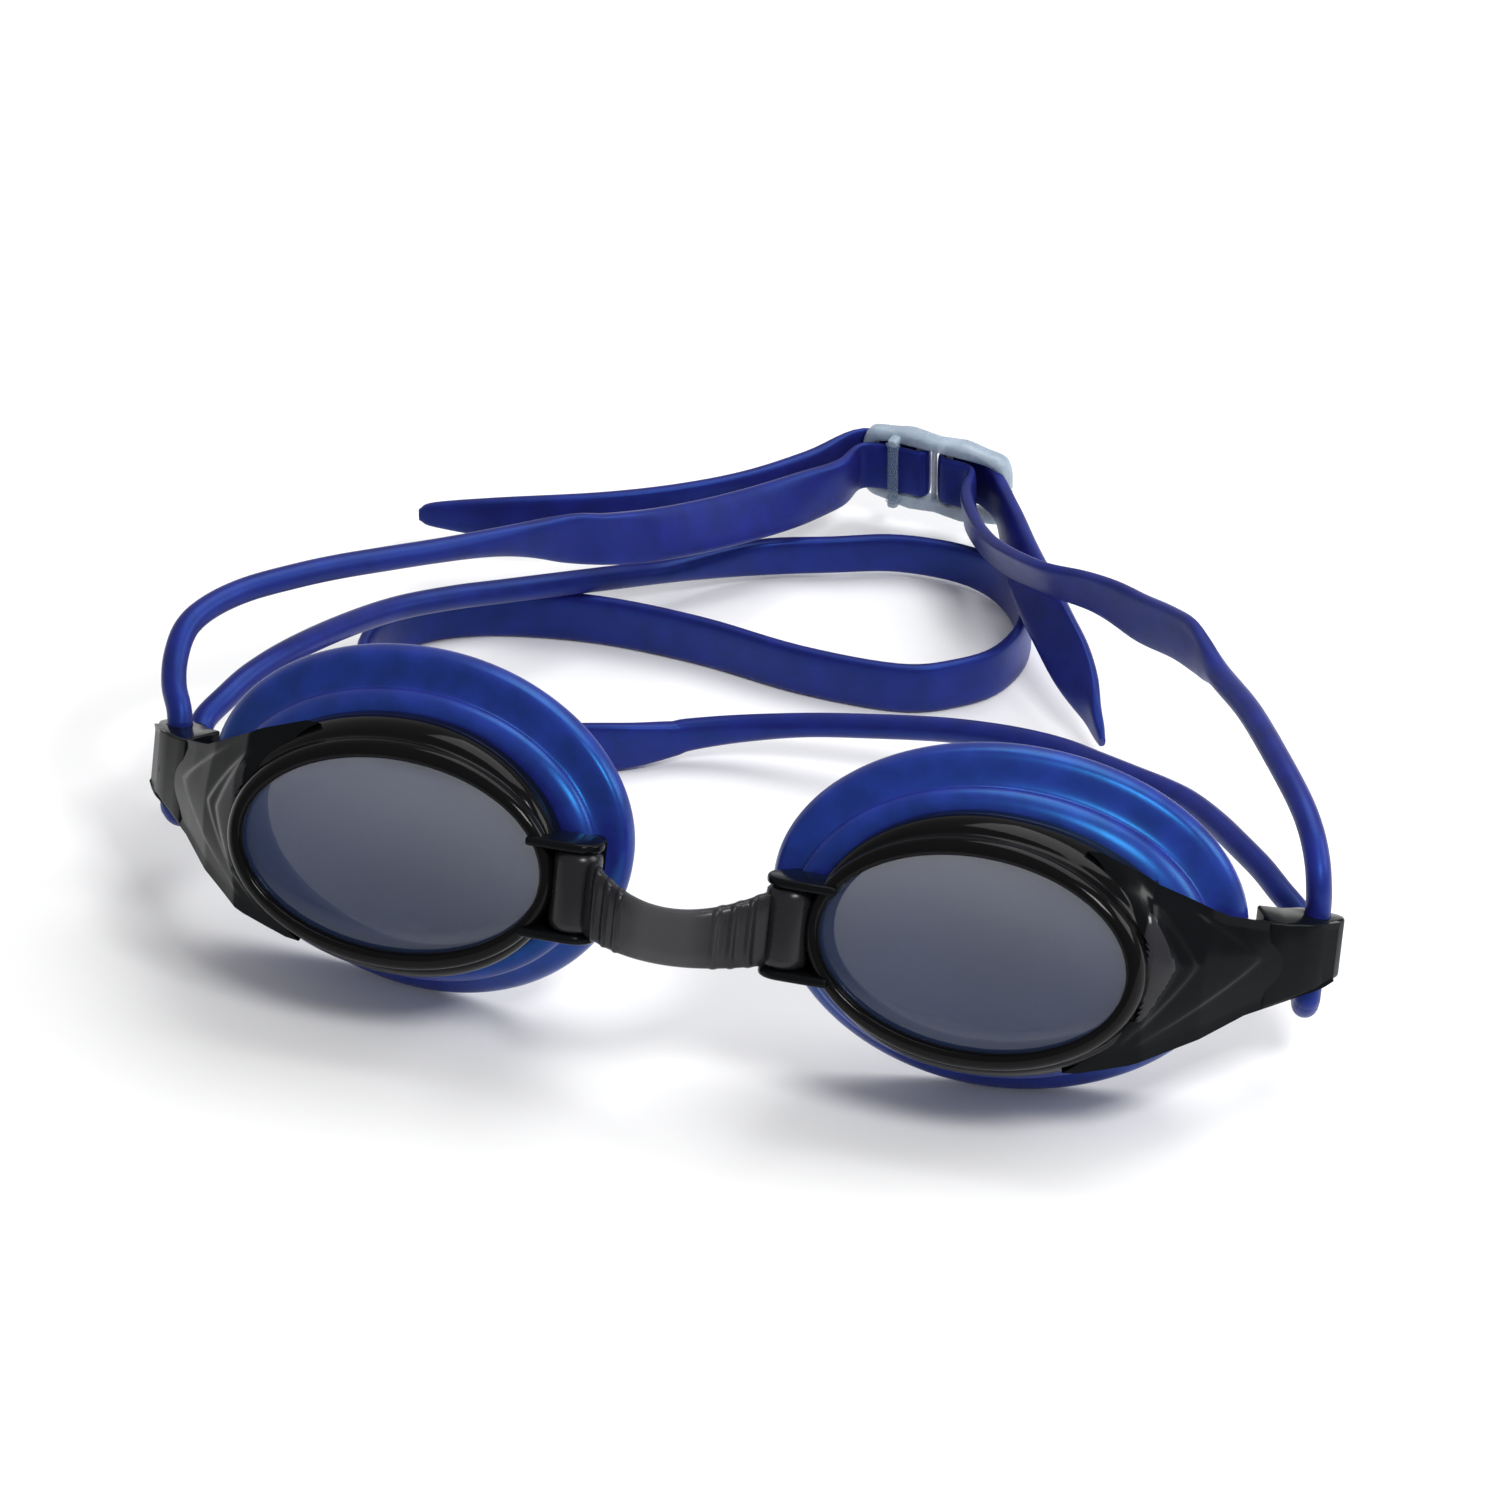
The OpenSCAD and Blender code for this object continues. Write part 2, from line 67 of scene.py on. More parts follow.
# ---- Where the goggles stand: read from the frame ----
hinge_axis = JOINTS["right_bridge_hinge"]["axis"]
LEAN = math.atan2(hinge_axis[1], hinge_axis[2])
ACROSS = np.array([1.0, 0.0, 0.0])
BACK = np.array([0.0, math.cos(LEAN), -math.sin(LEAN)])
UP = np.array([0.0, math.sin(LEAN), math.cos(LEAN)])
# Depth of the lens's middle behind the front of the rim
LENS_MIDDLE = 1.7


def box_centre(node):
    low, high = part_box(node)
    return (np.array(low) + np.array(high)) / 2


CUP_AT = {name: box_centre("lens_" + name) - BACK * LENS_MIDDLE * MM for name in SIDES}
GOGGLES_AT = (CUP_AT["left"] + CUP_AT["right"]) / 2
CUP_X = float(CUP_AT["right"][0]) / MM


def in_cup(side, points):
    """Points in a cup's own axes, in millimetres, as metres in the frame."""
    p = np.asarray(points, float)
    return CUP_AT[side] + MM * (SIDES[side] * p[..., :1] * ACROSS + p[..., 1:2] * BACK + p[..., 2:3] * UP)


def in_goggles(points):
    """Points in the axes midway between the cups, in millimetres, as metres in the frame."""
    p = np.asarray(points, float)
    return GOGGLES_AT + MM * (p[..., :1] * ACROSS + p[..., 1:2] * BACK + p[..., 2:3] * UP)


# ---- Mesh helpers ----
def make_object(name, verts, faces, material, smooth=True):
    mesh = bpy.data.meshes.new(name)
    mesh.from_pydata([tuple(v) for v in verts], [], [tuple(f) for f in faces])
    bm = bmesh.new()
    bm.from_mesh(mesh)
    bmesh.ops.recalc_face_normals(bm, faces=bm.faces)
    bm.to_mesh(mesh)
    bm.free()
    for polygon in mesh.polygons:
        polygon.use_smooth = smooth
    obj = bpy.data.objects.new(name, mesh)
    bpy.context.scene.collection.objects.link(obj)
    obj.data.materials.append(material)
    return obj


def ring_skin(rings, loop=False, caps=False):
    """Faces through rings of equal length. loop joins the last ring to the first; caps close both ends."""
    m, n = len(rings), len(rings[0])
    faces = []
    for j in range(m if loop else m - 1):
        a, b = j * n, (j + 1) % m * n
        for i in range(n):
            k = (i + 1) % n
            faces.append((a + i, a + k, b + k, b + i))
    if caps:
        faces.append(tuple(reversed(range(n))))
        faces.append(tuple((m - 1) * n + i for i in range(n)))
    return faces


def skinned(name, rings, material, **ends):
    """An object whose skin runs through the rings."""
    return make_object(name, np.concatenate(rings), ring_skin(rings, **ends), material)


def round_the(count):
    """Even angles once round."""
    return np.linspace(0, 2 * math.pi, count, endpoint=False)


def squared_round(count, across, up):
    """Unit circle points drawn out towards a square's corners, more so for smaller powers."""
    c, n = np.cos(round_the(count)), np.sin(round_the(count))
    return np.sign(c) * np.abs(c) ** across, np.sign(n) * np.abs(n) ** up


def curve_through(points, steps, loop=False):
    """A Catmull-Rom curve through rows of numbers, steps samples to each stretch."""
    rows = np.asarray(points, float)
    count = len(rows)
    out = []
    for j in range(count if loop else count - 1):
        if loop:
            a, b, c, d = (rows[(j + k) % count] for k in (-1, 0, 1, 2))
        else:
            b, c = rows[j], rows[j + 1]
            a = rows[j - 1] if j else 2 * b - c
            d = rows[j + 2] if j + 2 < count else 2 * c - b
        square, cube = 2 * a - 5 * b + 4 * c - d, 3 * b - a - 3 * c + d
        for t in np.arange(steps) / steps:
            out.append(0.5 * (2 * b + (c - a) * t + square * t**2 + cube * t**3))
    if not loop:
        out.append(rows[-1])
    return np.array(out)


def apply_modifiers(obj):
    """The object's mesh as its modifiers leave it, smooth shaded, with the modifiers gone."""
    deps = bpy.context.evaluated_depsgraph_get()
    mesh = bpy.data.meshes.new_from_object(obj.evaluated_get(deps))
    obj.modifiers.clear()
    old = obj.data
    obj.data = mesh
    bpy.data.meshes.remove(old)
    for polygon in obj.data.polygons:
        polygon.use_smooth = True


def bevel(obj, width, segments=3, angle=30):
    modifier = obj.modifiers.new("bevel", "BEVEL")
    modifier.width = width
    modifier.segments = segments
    modifier.angle_limit = math.radians(angle)
    apply_modifiers(obj)


def smooth_by_angle(obj, degrees):
    """Smooth shading with edges over the angle kept sharp."""
    bm = bmesh.new()
    bm.from_mesh(obj.data)
    for face in bm.faces:
        face.smooth = True
    for edge in bm.edges:
        edge.smooth = len(edge.link_faces) == 2 and edge.calc_face_angle(0) < math.radians(degrees)
    bm.to_mesh(obj.data)
    bm.free()


def cut(obj, cutter):
    """Takes the cutter's shape out of the object."""
    modifier = obj.modifiers.new("cut", "BOOLEAN")
    modifier.operation = "DIFFERENCE"
    modifier.solver = "EXACT"
    modifier.object = cutter
    apply_modifiers(obj)
    bpy.data.objects.remove(cutter)


def join(name, objects):
    """One object from several, with the longest list of materials that any of them has."""
    bm = bmesh.new()
    for obj in objects:
        bm.from_mesh(obj.data)
    materials = max((list(obj.data.materials) for obj in objects), key=len)
    mesh = bpy.data.meshes.new(name)
    bm.to_mesh(mesh)
    bm.free()
    for obj in objects:
        bpy.data.objects.remove(obj)
    joined = bpy.data.objects.new(name, mesh)
    bpy.context.scene.collection.objects.link(joined)
    for material in materials:
        joined.data.materials.append(material)
    return joined


# ---- Materials ----
class Shader:
    """A material's node tree with short ways to add noise, colour, roughness, bump and fades."""

    def __init__(self, name):
        self.material = bpy.data.materials.new(name)
        self.material.use_nodes = True
        self.tree = self.material.node_tree
        self.bsdf = self.tree.nodes["Principled BSDF"]
        self.place = self.tree.nodes.new("ShaderNodeTexCoord").outputs["Object"]

    def link(self, start, end):
        self.tree.links.new(start, end)

    def set(self, **values):
        """The shader's own sockets, such as Alpha or Specular_IOR_Level."""
        for name, value in values.items():
            self.bsdf.inputs[name.replace("_", " ")].default_value = value

    def noise(self, scale, detail):
        texture = self.tree.nodes.new("ShaderNodeTexNoise")
        texture.inputs["Scale"].default_value = scale
        texture.inputs["Detail"].default_value = detail
        self.link(self.place, texture.inputs["Vector"])
        return texture.outputs["Fac"]

    def colour(self, value, *stops):
        """Base colour along a 0..1 value, from (place, colour) stops."""
        ramp = self.tree.nodes.new("ShaderNodeValToRGB")
        for element, (place, colour) in zip(ramp.color_ramp.elements, stops):
            element.position = place
            element.color = (*colour, 1)
        self.link(value, ramp.inputs["Fac"])
        self.link(ramp.outputs["Color"], self.bsdf.inputs["Base Color"])

    def roughness(self, value, low, high):
        """Roughness from low to high along a 0..1 value."""
        spread = self.tree.nodes.new("ShaderNodeMapRange")
        spread.inputs["To Min"].default_value = low
        spread.inputs["To Max"].default_value = high
        self.link(value, spread.inputs["Value"])
        self.link(spread.outputs["Result"], self.bsdf.inputs["Roughness"])

    def bump(self, value, strength, distance):
        bump = self.tree.nodes.new("ShaderNodeBump")
        bump.inputs["Strength"].default_value = strength
        bump.inputs["Distance"].default_value = distance
        self.link(value, bump.inputs["Height"])
        self.link(bump.outputs["Normal"], self.bsdf.inputs["Normal"])

    def along(self, axis, mirrored=False):
        """Place along one axis, in metres, or the distance from the middle if mirrored."""
        split = self.tree.nodes.new("ShaderNodeSeparateXYZ")
        self.link(self.place, split.inputs["Vector"])
        if not mirrored:
            return split.outputs[axis]
        distance = self.tree.nodes.new("ShaderNodeMath")
        distance.operation = "ABSOLUTE"
        self.link(split.outputs[axis], distance.inputs[0])
        return distance.outputs["Value"]

    def fade_alpha(self, value, start, end):
        """Alpha that goes from one (value, alpha) pair to another."""
        fade = self.tree.nodes.new("ShaderNodeMapRange")
        fade.inputs["From Min"].default_value, fade.inputs["To Min"].default_value = start
        fade.inputs["From Max"].default_value, fade.inputs["To Max"].default_value = end
        self.link(value, fade.inputs["Value"])
        self.link(fade.outputs["Result"], self.bsdf.inputs["Alpha"])


def silicone(name, dark, light, rough, tint, gloss, grain):
    """Pearly moulded silicone: cloudy blue with a fine satin skin."""
    made = Shader(name)
    made.colour(made.noise(240, 4), (0.35, dark), (0.68, light))
    made.roughness(made.noise(900, 2), rough - 0.04, rough + 0.05)
    made.bump(made.noise(grain, 3), 0.12, 0.00006)
    made.set(Specular_IOR_Level=gloss, Specular_Tint=(*tint, 1), IOR=1.5)
    return made.material


def smoke(name, tone, alpha, rough=0.06, wave=60, gloss=0.5, ior=1.5):
    """Clear moulded plastic or elastomer with a smoke tint."""
    made = Shader(name)
    pale = tuple(1.5 * c for c in tone)
    made.colour(made.noise(wave, 3), (0.3, tone), (0.75, pale))
    made.roughness(made.noise(500, 2), rough, rough + 0.05)
    made.bump(made.noise(wave * 2, 2), 0.05, 0.0001)
    made.set(IOR=ior, Specular_IOR_Level=gloss, Alpha=alpha)
    return made


def lens_with_painted_shade():
    """Bluish smoke pane with painted shade: more opaque, so darker, towards its lower edge."""
    made = smoke("smoke_lens", (0.016, 0.027, 0.068), 0.62, 0.03, 30, gloss=0.6)
    # Painted shade: alpha goes from 0.66 at the top to 0.80 towards the bottom, so the pane darkens downward
    made.fade_alpha(made.along("Z"), (0.015, 0.80), (0.038, 0.66))
    return made


def graded_bridge():
    """Smoke elastomer that lets more light through in its thin middle than at its ends."""
    made = smoke("smoke_bridge", (0.011, 0.011, 0.013), 0.84, 0.24, 90, gloss=0.27)
    made.fade_alpha(made.along("X", mirrored=True), (0.003, 0.80), (0.009, 0.97))
    return made


CYAN, TEAL = (0.05, 0.42, 1), (0.08, 0.28, 1)
GASKET_BLUE = silicone(
    "gasket_silicone", (0.013, 0.016, 0.145), (0.018, 0.026, 0.235), 0.31, CYAN, 1.0, 1500
)
STRAP_BLUE = silicone("strap_silicone", (0.011, 0.012, 0.105), (0.014, 0.016, 0.165), 0.40, TEAL, 0.8, 1800)
LENS_SMOKE = lens_with_painted_shade().material
FRAME_SMOKE = smoke("smoke_frame", (0.0022, 0.0022, 0.0026), 0.988, gloss=0.11).material
FRAME_THIN = smoke("smoke_frame_thin", (0.020, 0.020, 0.024), 0.93, 0.12, gloss=0.25).material
# Painted shade: a copy of the frame plastic with a low IOR, so the wing, temple blocks and ears reflect less
# and stay darker than the rim
FRAME_SHADED_SIDE = smoke("smoke_frame_shaded_side", (0.0030, 0.0036, 0.0044), 0.99, 0.14, gloss=0.3, ior=1.22).material
BRIDGE_SMOKE = graded_bridge().material
BUCKLE_CLEAR = smoke("clear_buckle", (0.27, 0.34, 0.42), 0.76, 0.25, 200).material
BUCKLE_THIN = smoke("clear_buckle_thin", (0.20, 0.27, 0.36), 0.32, 0.25, 200).material
# Places in the frame's list of materials, after FRAME_SMOKE, and in the buckle's, after BUCKLE_CLEAR
THIN_FACES, SHADED_SIDE_FACES = 1, 2

# ---- Lenses and cup shells ----
WINDOW_X, WINDOW_Z = 19.65, 12.35
AROUND = 160
# Distances across and up at which a ring's bend and backward tip are reached
BEND_X, TIP_Z = 28, 22


def oval(nasal, temple, high, depth, slant):
    """A level ring: half widths to nose and temple, half height, depth and the depth gained outward."""
    return (nasal, temple, high, high, 0, depth, slant, 0, 0)


def cup_ring(row):
    """One ring of the cup, with its own half heights above and below, rise, bend and backward tip."""
    nasal, temple, above, below, rise, depth, slant, bend, tip_back = row
    a = round_the(AROUND)
    x = np.where(np.cos(a) < 0, nasal, temple) * np.cos(a)
    z = rise + np.where(np.sin(a) < 0, below, above) * np.sin(a)
    y = depth + slant * x / temple + bend * (x / BEND_X) ** 2 + tip_back * z / TIP_Z
    return np.stack([x, y, z], -1)


def ring_body(name, side, rows, steps, material):
    """A closed tube round the cup, whose section is the curve through the rows."""
    profile = curve_through(rows, steps, loop=True)
    rings = [in_cup(side, cup_ring(row)) for row in profile]
    return skinned(name, rings, material, loop=True)


def grown_oval(growth, depth):
    """The window's oval, larger by the growth."""
    return cup_ring(oval(WINDOW_X + growth, WINDOW_X + growth, WINDOW_Z + growth, depth, 0))


def scaled_oval(share, depth):
    """The window's oval, smaller by the share."""
    return cup_ring(oval(WINDOW_X * share, WINDOW_X * share, WINDOW_Z * share, depth, 0))


def build_lens(side):
    """An oval pane with a slightly crowned front, a hollow back and a rounded edge."""
    edge, front, rear, crown, hollow = 0.66, 0.8, 2.45, 0.45, 0.4
    rings = [scaled_oval(share, rear - hollow * (1 - share**2)) for share in (0.04, 0.4, 0.8)]
    rings.append(grown_oval(0.3, 2.5))
    for inset, y in ((0.0, 2.2), (0.0, 1.3), (0.25, 0.9), (0.9, front)):
        rings.append(grown_oval(edge - inset, y))
    for share in (0.8, 0.6, 0.4, 0.2, 0.04):
        rings.append(scaled_oval(share, front - crown * (1 - share**2)))
    return skinned("pane_" + side, [in_cup(side, r) for r in rings], LENS_SMOKE, caps=True)


def flange(inset, back):
    """A ring of the flange that rests on the face, drawn in and set further back."""
    return (28.7 - inset, 30.4 - inset, 20.7 - inset, 24.6 - inset, 3, 17 + back, 4.9, -1.3, -1.6)


def build_gasket(side):
    """Two tiers of soft silicone: a shoulder behind the frame, a groove, and the flared flange."""
    x, z = WINDOW_X, WINDOW_Z
    rows = [
        oval(x + 0.5, x + 3.2, z + 1.8, 6.5, 2.4),
        oval(x + 0.5, x + 3.5, z + 1.8, 8.7, 3.0),
        oval(x + 2.4, x + 4.9, z + 3.9, 8.85, 3.3),
        (x + 4.0, x + 6.2, z + 4.9, z + 5.4, 0.3, 9.4, 3.7, -0.1, -0.2),
        (x + 5.0, x + 7.1, z + 5.6, z + 6.5, 0.6, 10.5, 4.0, -0.3, -0.4),
        (x + 5.3, x + 7.4, z + 5.6, z + 6.9, 0.9, 11.7, 4.2, -0.4, -0.6),
        (x + 4.9, x + 7.1, z + 5.1, z + 6.8, 1.2, 12.7, 4.5, -0.7, -0.8),
        (x + 5.7, x + 7.8, z + 5.6, z + 7.9, 1.8, 13.6, 4.6, -0.9, -1.1),
        flange(1.2, -2.1),
        flange(0.25, -0.8),
        flange(0.1, 0.5),
        flange(0.7, 1.4),
        flange(2.0, 1.9),
        flange(3.8, 1.4),
        flange(6.0, -1.2),
        (x + 0.9, x + 2.4, z + 2.0, z + 3.4, 1, 13.2, 4.6, -0.5, -0.6),
        oval(x - 0.2, x + 1.6, z + 1.0, 10.2, 3.9),
        oval(x - 0.8, x + 1.8, z + 0.5, 7.2, 2.7),
        oval(x - 0.4, x + 2.4, z + 0.9, 6.4, 2.4),
    ]
    return ring_body("eye_seal_" + side, side, rows, 4, GASKET_BLUE)


def build_shell(side):
    """The rim: a convex front band, a groove, and a skirt that flares back to the gasket."""
    x, z = WINDOW_X, WINDOW_Z
    rows = [
        oval(x + 0.05, x + 0.05, z + 0.05, 0.75, 0),
        oval(x, x, z, 0.1, 0),
        oval(x + 0.2, x + 0.2, z + 0.2, -0.45, 0),
        oval(x + 0.6, x + 0.6, z + 0.6, -0.65, 0),
        oval(x + 1.2, x + 1.2, z + 1.3, -0.55, 0),
        oval(x + 1.6, x + 1.8, z + 2.0, 0.0, 0.1),
        oval(x + 1.7, x + 2.2, z + 2.3, 0.8, 0.2),
        oval(x + 1.45, x + 2.3, z + 2.2, 1.5, 0.5),
        oval(x + 1.4, x + 2.6, z + 2.4, 2.1, 0.8),
        oval(x + 1.6, x + 3.2, z + 3.1, 2.7, 1.1),
        oval(x + 1.8, x + 4.0, z + 3.9, 4.0, 1.7),
        oval(x + 1.9, x + 4.7, z + 4.25, 5.6, 2.2),
        oval(x + 1.9, x + 5.2, z + 4.25, 7.4, 2.8),
        oval(x + 1.8, x + 5.1, z + 4.1, 8.3, 3.0),
        oval(x + 1.2, x + 4.6, z + 3.2, 8.6, 3.0),
        oval(x + 0.65, x + 3.6, z + 1.95, 8.4, 3.0),
        oval(x + 0.6, x + 3.1, z + 1.9, 6.2, 2.2),
        oval(x + 0.6, x + 2.2, z + 1.9, 4.2, 1.2),
        oval(x + 0.7, x + 0.9, z + 0.9, 2.7, 0.1),
        oval(x + 0.75, x + 0.75, z + 0.75, 1.7, 0),
        oval(x + 0.7, x + 0.7, z + 0.7, 0.85, 0),
    ]
    return ring_body("rim_" + side, side, rows, 3, FRAME_SMOKE)


# ---- Temple wing: from the rim's outer edge back to the strap block ----
WING_X = (12.0, 17.0, 21.3, 23.5, 27.5, 31.5, 35.5, 39.0, 40.8)
WING_Y = (0.9, 1.2, 2.0, 4.3, 8.5, 13.8, 19.4, 23.0, 26.0)
EDGE_X = (12.0, 13.9, 19.7, 25.2, 29.2, 32.8, 36.0, 41.0)
TOP_Z = (14.4, 14.4, 12.3, 9.3, 7.0, 6.0, 5.3, 5.1)
FOOT_X = (12.0, 14.0, 20.1, 27.5, 31.9, 35.5, 38.0, 39.9, 41.0, 42.0)
FOOT_Z = (-14.2, -14.0, -12.1, -8.8, -6.1, -4.9, -3.9, -3.2, -2.4, -0.5)
WING_START, WING_END, START_CURVE = 21.2, 40.8, 0.82
WING_THICK, RELIEF_SINK = 1.5, 0.2
# Reach along the cup, how fast the edge falls back from the tip, and height of each layer of relief
WING_LAYERS = ((24.4, 0.34, 0.4), (26.6, 0.5, 0.45), (33.0, 0.8, 0.3))
LAYER_TIP_Z, LAYER_POWER, LAYER_SOFTNESS = 1.2, 1.15, 0.2
# The relief fades out above and below this height
RELIEF_Z, RELIEF_FADE = 8.2, 1.1
THIN_X, THIN_Z = 20.9, 7.6


def wing_point(u, v):
    """A point of the wing: u runs from the rim to the temple, v from the lower edge to the upper."""
    start = WING_START * math.sqrt(1 - (START_CURVE * v) ** 2)
    x = start + (WING_END - start) * u
    z = v * np.interp(x, EDGE_X, TOP_Z) if v > 0 else -v * np.interp(x, FOOT_X, FOOT_Z)
    rolled_back = v * v * (2.2 * (1 - u) + 12 * u * (1 - u) ** 2)
    under_rim = 1.2 * (1 - u) ** 6
    return x, np.interp(x, WING_X, WING_Y) + rolled_back + under_rim, z


def layer_edge(reach, fall, z):
    """Where a layer of relief ends, at a height on the wing."""
    return reach - fall * abs(z - LAYER_TIP_Z) ** LAYER_POWER


def wing_relief(x, z):
    """Height of the stacked arrow-shaped layers on the wing, whose tips point to the temple."""
    height = 0.0
    for reach, fall, step in WING_LAYERS:
        height += step / (1 + math.exp(-(layer_edge(reach, fall, z) - x) / LAYER_SOFTNESS))
    return height / (1 + math.exp((abs(z) - RELIEF_Z) / RELIEF_FADE))


def is_thin(x, z):
    """True on the crescent beside the rim, where the plastic is thin and paler."""
    reach, fall, _ = WING_LAYERS[0]
    return THIN_X < x < layer_edge(reach, fall, z) - 0.3 and abs(z) < THIN_Z


def sheet_faces(along, down):
    """Faces of a closed sheet: its outer grid of points, its inner grid and the walls between them."""
    n = down + 1
    base = (along + 1) * n
    faces = []
    for i in range(along):
        for j in range(down):
            a = i * n + j
            faces.append((a, a + 1, a + n + 1, a + n))
            faces.append((base + a, base + a + n, base + a + n + 1, base + a + 1))
    for i in range(along):
        for j in (0, down):
            a, b = i * n + j, (i + 1) * n + j
            faces.append((a, b, base + b, base + a))
    for j in range(down):
        for i in (0, along):
            a = i * n + j
            faces.append((a, a + 1, base + a + 1, base + a))
    return faces


def use_shaded_side_plastic(obj):
    """Gives the whole object the satin plastic of the frame's sides: a copy of the frame plastic that
    reflects less, painted shade that keeps the sides dark.
    """
    obj.data.materials.append(FRAME_THIN)
    obj.data.materials.append(FRAME_SHADED_SIDE)
    for polygon in obj.data.polygons:
        polygon.material_index = SHADED_SIDE_FACES


def build_wing(side):
    """The curved, tapering arm from the rim to the temple block, with its relief."""
    along, down = 90, 64
    rows = [[wing_point(i / along, 2 * j / down - 1) for j in range(down + 1)] for i in range(along + 1)]
    grid = np.array(rows)
    normal = np.cross(np.gradient(grid, axis=0), np.gradient(grid, axis=1))
    normal /= np.linalg.norm(normal, axis=2, keepdims=True)
    normal *= np.sign(normal[..., :1] + 1e-9)
    relief = np.array([[wing_relief(x, z) for x, _, z in row] for row in grid])
    edge = np.minimum(1, 6 * (1 - np.abs(np.linspace(-1, 1, down + 1))))
    outer = grid + normal * (relief[..., None] - RELIEF_SINK) * edge[None, :, None]
    inner = grid - normal * WING_THICK
    verts = np.concatenate([outer.reshape(-1, 3), inner.reshape(-1, 3)])
    wing = make_object("wing_" + side, in_cup(side, verts), sheet_faces(along, down), FRAME_SMOKE)
    use_shaded_side_plastic(wing)
    for i in range(along):
        for j in range(down):
            if is_thin(grid[i][j][0], grid[i][j][2]):
                wing.data.polygons[2 * (i * down + j)].material_index = THIN_FACES
    return wing


# ---- Temple block: LEG_OUT and LEG_IN are the strap's two legs, through the block and behind it ----
LEG_OUT = (37.6, 26.8)
LEG_IN = (36.1, 31.8)
CHANNEL_R = 1.75


def walled(name, side, low, high):
    """A block between a lower and an upper outline of as many points."""
    n = len(low)
    faces = [tuple(range(n)), tuple(range(n, 2 * n))]
    faces += [(i, (i + 1) % n, n + (i + 1) % n, n + i) for i in range(n)]
    return make_object(name, in_cup(side, low + high), faces, FRAME_SMOKE)


def prism(name, side, plan, low, high):
    """An upright block of one plan."""
    return walled(name, side, [(x, y, low) for x, y in plan], [(x, y, high) for x, y in plan])


def disc(centre, radius, count=48):
    """Points round a circle in the plan."""
    return [(centre[0] + radius * math.cos(t), centre[1] + radius * math.sin(t)) for t in round_the(count)]


def build_temple(side):
    """The block at the wing's end, with the upright channel that the strap runs down."""
    plan = [
        (33.6, 17.6), (35.5, 19.7), (37.2, 21.4), (39.0, 23.3), (40.2, 25.6), (40.9, 28.2), (40.6, 29.3),
        (39.6, 29.9), (38.0, 29.8), (36.5, 29.5), (34.6, 28.6), (33.9, 27.0), (33.0, 25.4), (30.6, 22.4),
    ]
    low = [(x, y, np.interp(x, FOOT_X, FOOT_Z) + 0.1) for x, y in plan]
    high = [(x, y, np.interp(x, EDGE_X, TOP_Z)) for x, y in plan]
    block = walled("temple_" + side, side, low, high)
    bevel(block, 0.4 * MM)
    cut(block, prism("channel", side, disc(LEG_OUT, CHANNEL_R), -11, 11))
    use_shaded_side_plastic(block)
    return block


# ---- Knuckles ----
KNUCKLE = (13.8, 1.8)
KNUCKLE_TOP, KNUCKLE_BOTTOM = 4.6, -6.0
EAR_R, EAR_T, EAR_REACH = 3.15, 1.2, 6.4


def upright_rings(side, outline, count):
    """Rings about a knuckle's upright line, from (radius, height) points."""
    x, y = SIDES[side] * KNUCKLE[0], KNUCKLE[1]
    angles = round_the(count)
    rings = []
    for r, z in outline:
        rings.append(in_goggles([(x + r * math.cos(a), y + r * math.sin(a), z) for a in angles]))
    return rings


def build_ears(side):
    """Two ears on the rim, the upright post between them and the web behind it."""
    made = []
    middle = KNUCKLE[0] - CUP_X
    for low in (KNUCKLE_TOP, KNUCKLE_BOTTOM - EAR_T):
        # The half of the circle towards the nose
        plan = disc((middle, KNUCKLE[1]), EAR_R, 32)[8:25]
        plan += [(middle + EAR_REACH, KNUCKLE[1] - EAR_R), (middle + EAR_REACH, KNUCKLE[1] + EAR_R)]
        ear = prism("ear", side, plan, low, low + EAR_T)
        bevel(ear, 0.45 * MM, segments=4)
        made.append(ear)
    cradle = [
        (middle - 2.6, 5.3), (middle, 5.5), (middle + 1.8, 5.2), (middle + 3.6, 3.8), (middle + 4.6, 6.2),
        (middle + 3.2, 8.4), (middle - 1.6, 7.8),
    ]
    web = prism("web", side, cradle, KNUCKLE_BOTTOM - 0.6, KNUCKLE_TOP + 0.6)
    bevel(web, 0.4 * MM)
    made.append(web)
    low, high = KNUCKLE_BOTTOM - 0.9, KNUCKLE_TOP + 0.9
    post = upright_rings(side, [(0.1, low), (1.5, low), (1.5, high), (0.1, high)], 48)
    made.append(skinned("post", post, FRAME_SMOKE, caps=True))
    for piece in made:
        use_shaded_side_plastic(piece)
    return made


def build_frame(side):
    ears = build_ears(side)
    obj = join("eyecup_frame_" + side, [build_shell(side), build_wing(side), build_temple(side), *ears])
    smooth_by_angle(obj, 38)
    return obj


# ---- Nose bridge ----
RIB_FROM, RIB_TO, RIB_AT, RIB_PITCH, RIB_HEIGHT = 5.4, 11.4, 6.4, 1.9, 0.38


def bridge_section(x, end):
    """A section of the arch: lower and nearer at the middle, with ribs on both arms."""
    k = 1 - (abs(x) / end) ** 2
    ribs = 0
    if RIB_FROM < abs(x) < RIB_TO:
        ribs = RIB_HEIGHT * max(0.0, math.cos((abs(x) - RIB_AT) * 2 * math.pi / RIB_PITCH))
    high = 9.8 - 2.6 * k + 0.5 * ribs
    thick = 3.3 - 0.5 * k + 2 * ribs
    across, up = squared_round(40, 0.6, 0.55)
    y = KNUCKLE[1] - 1 - 6.5 * k + thick / 2 * across
    z = -1 - 1.7 * k + high / 2 * up
    return in_goggles(np.stack([np.full(len(y), x), y, z], -1))


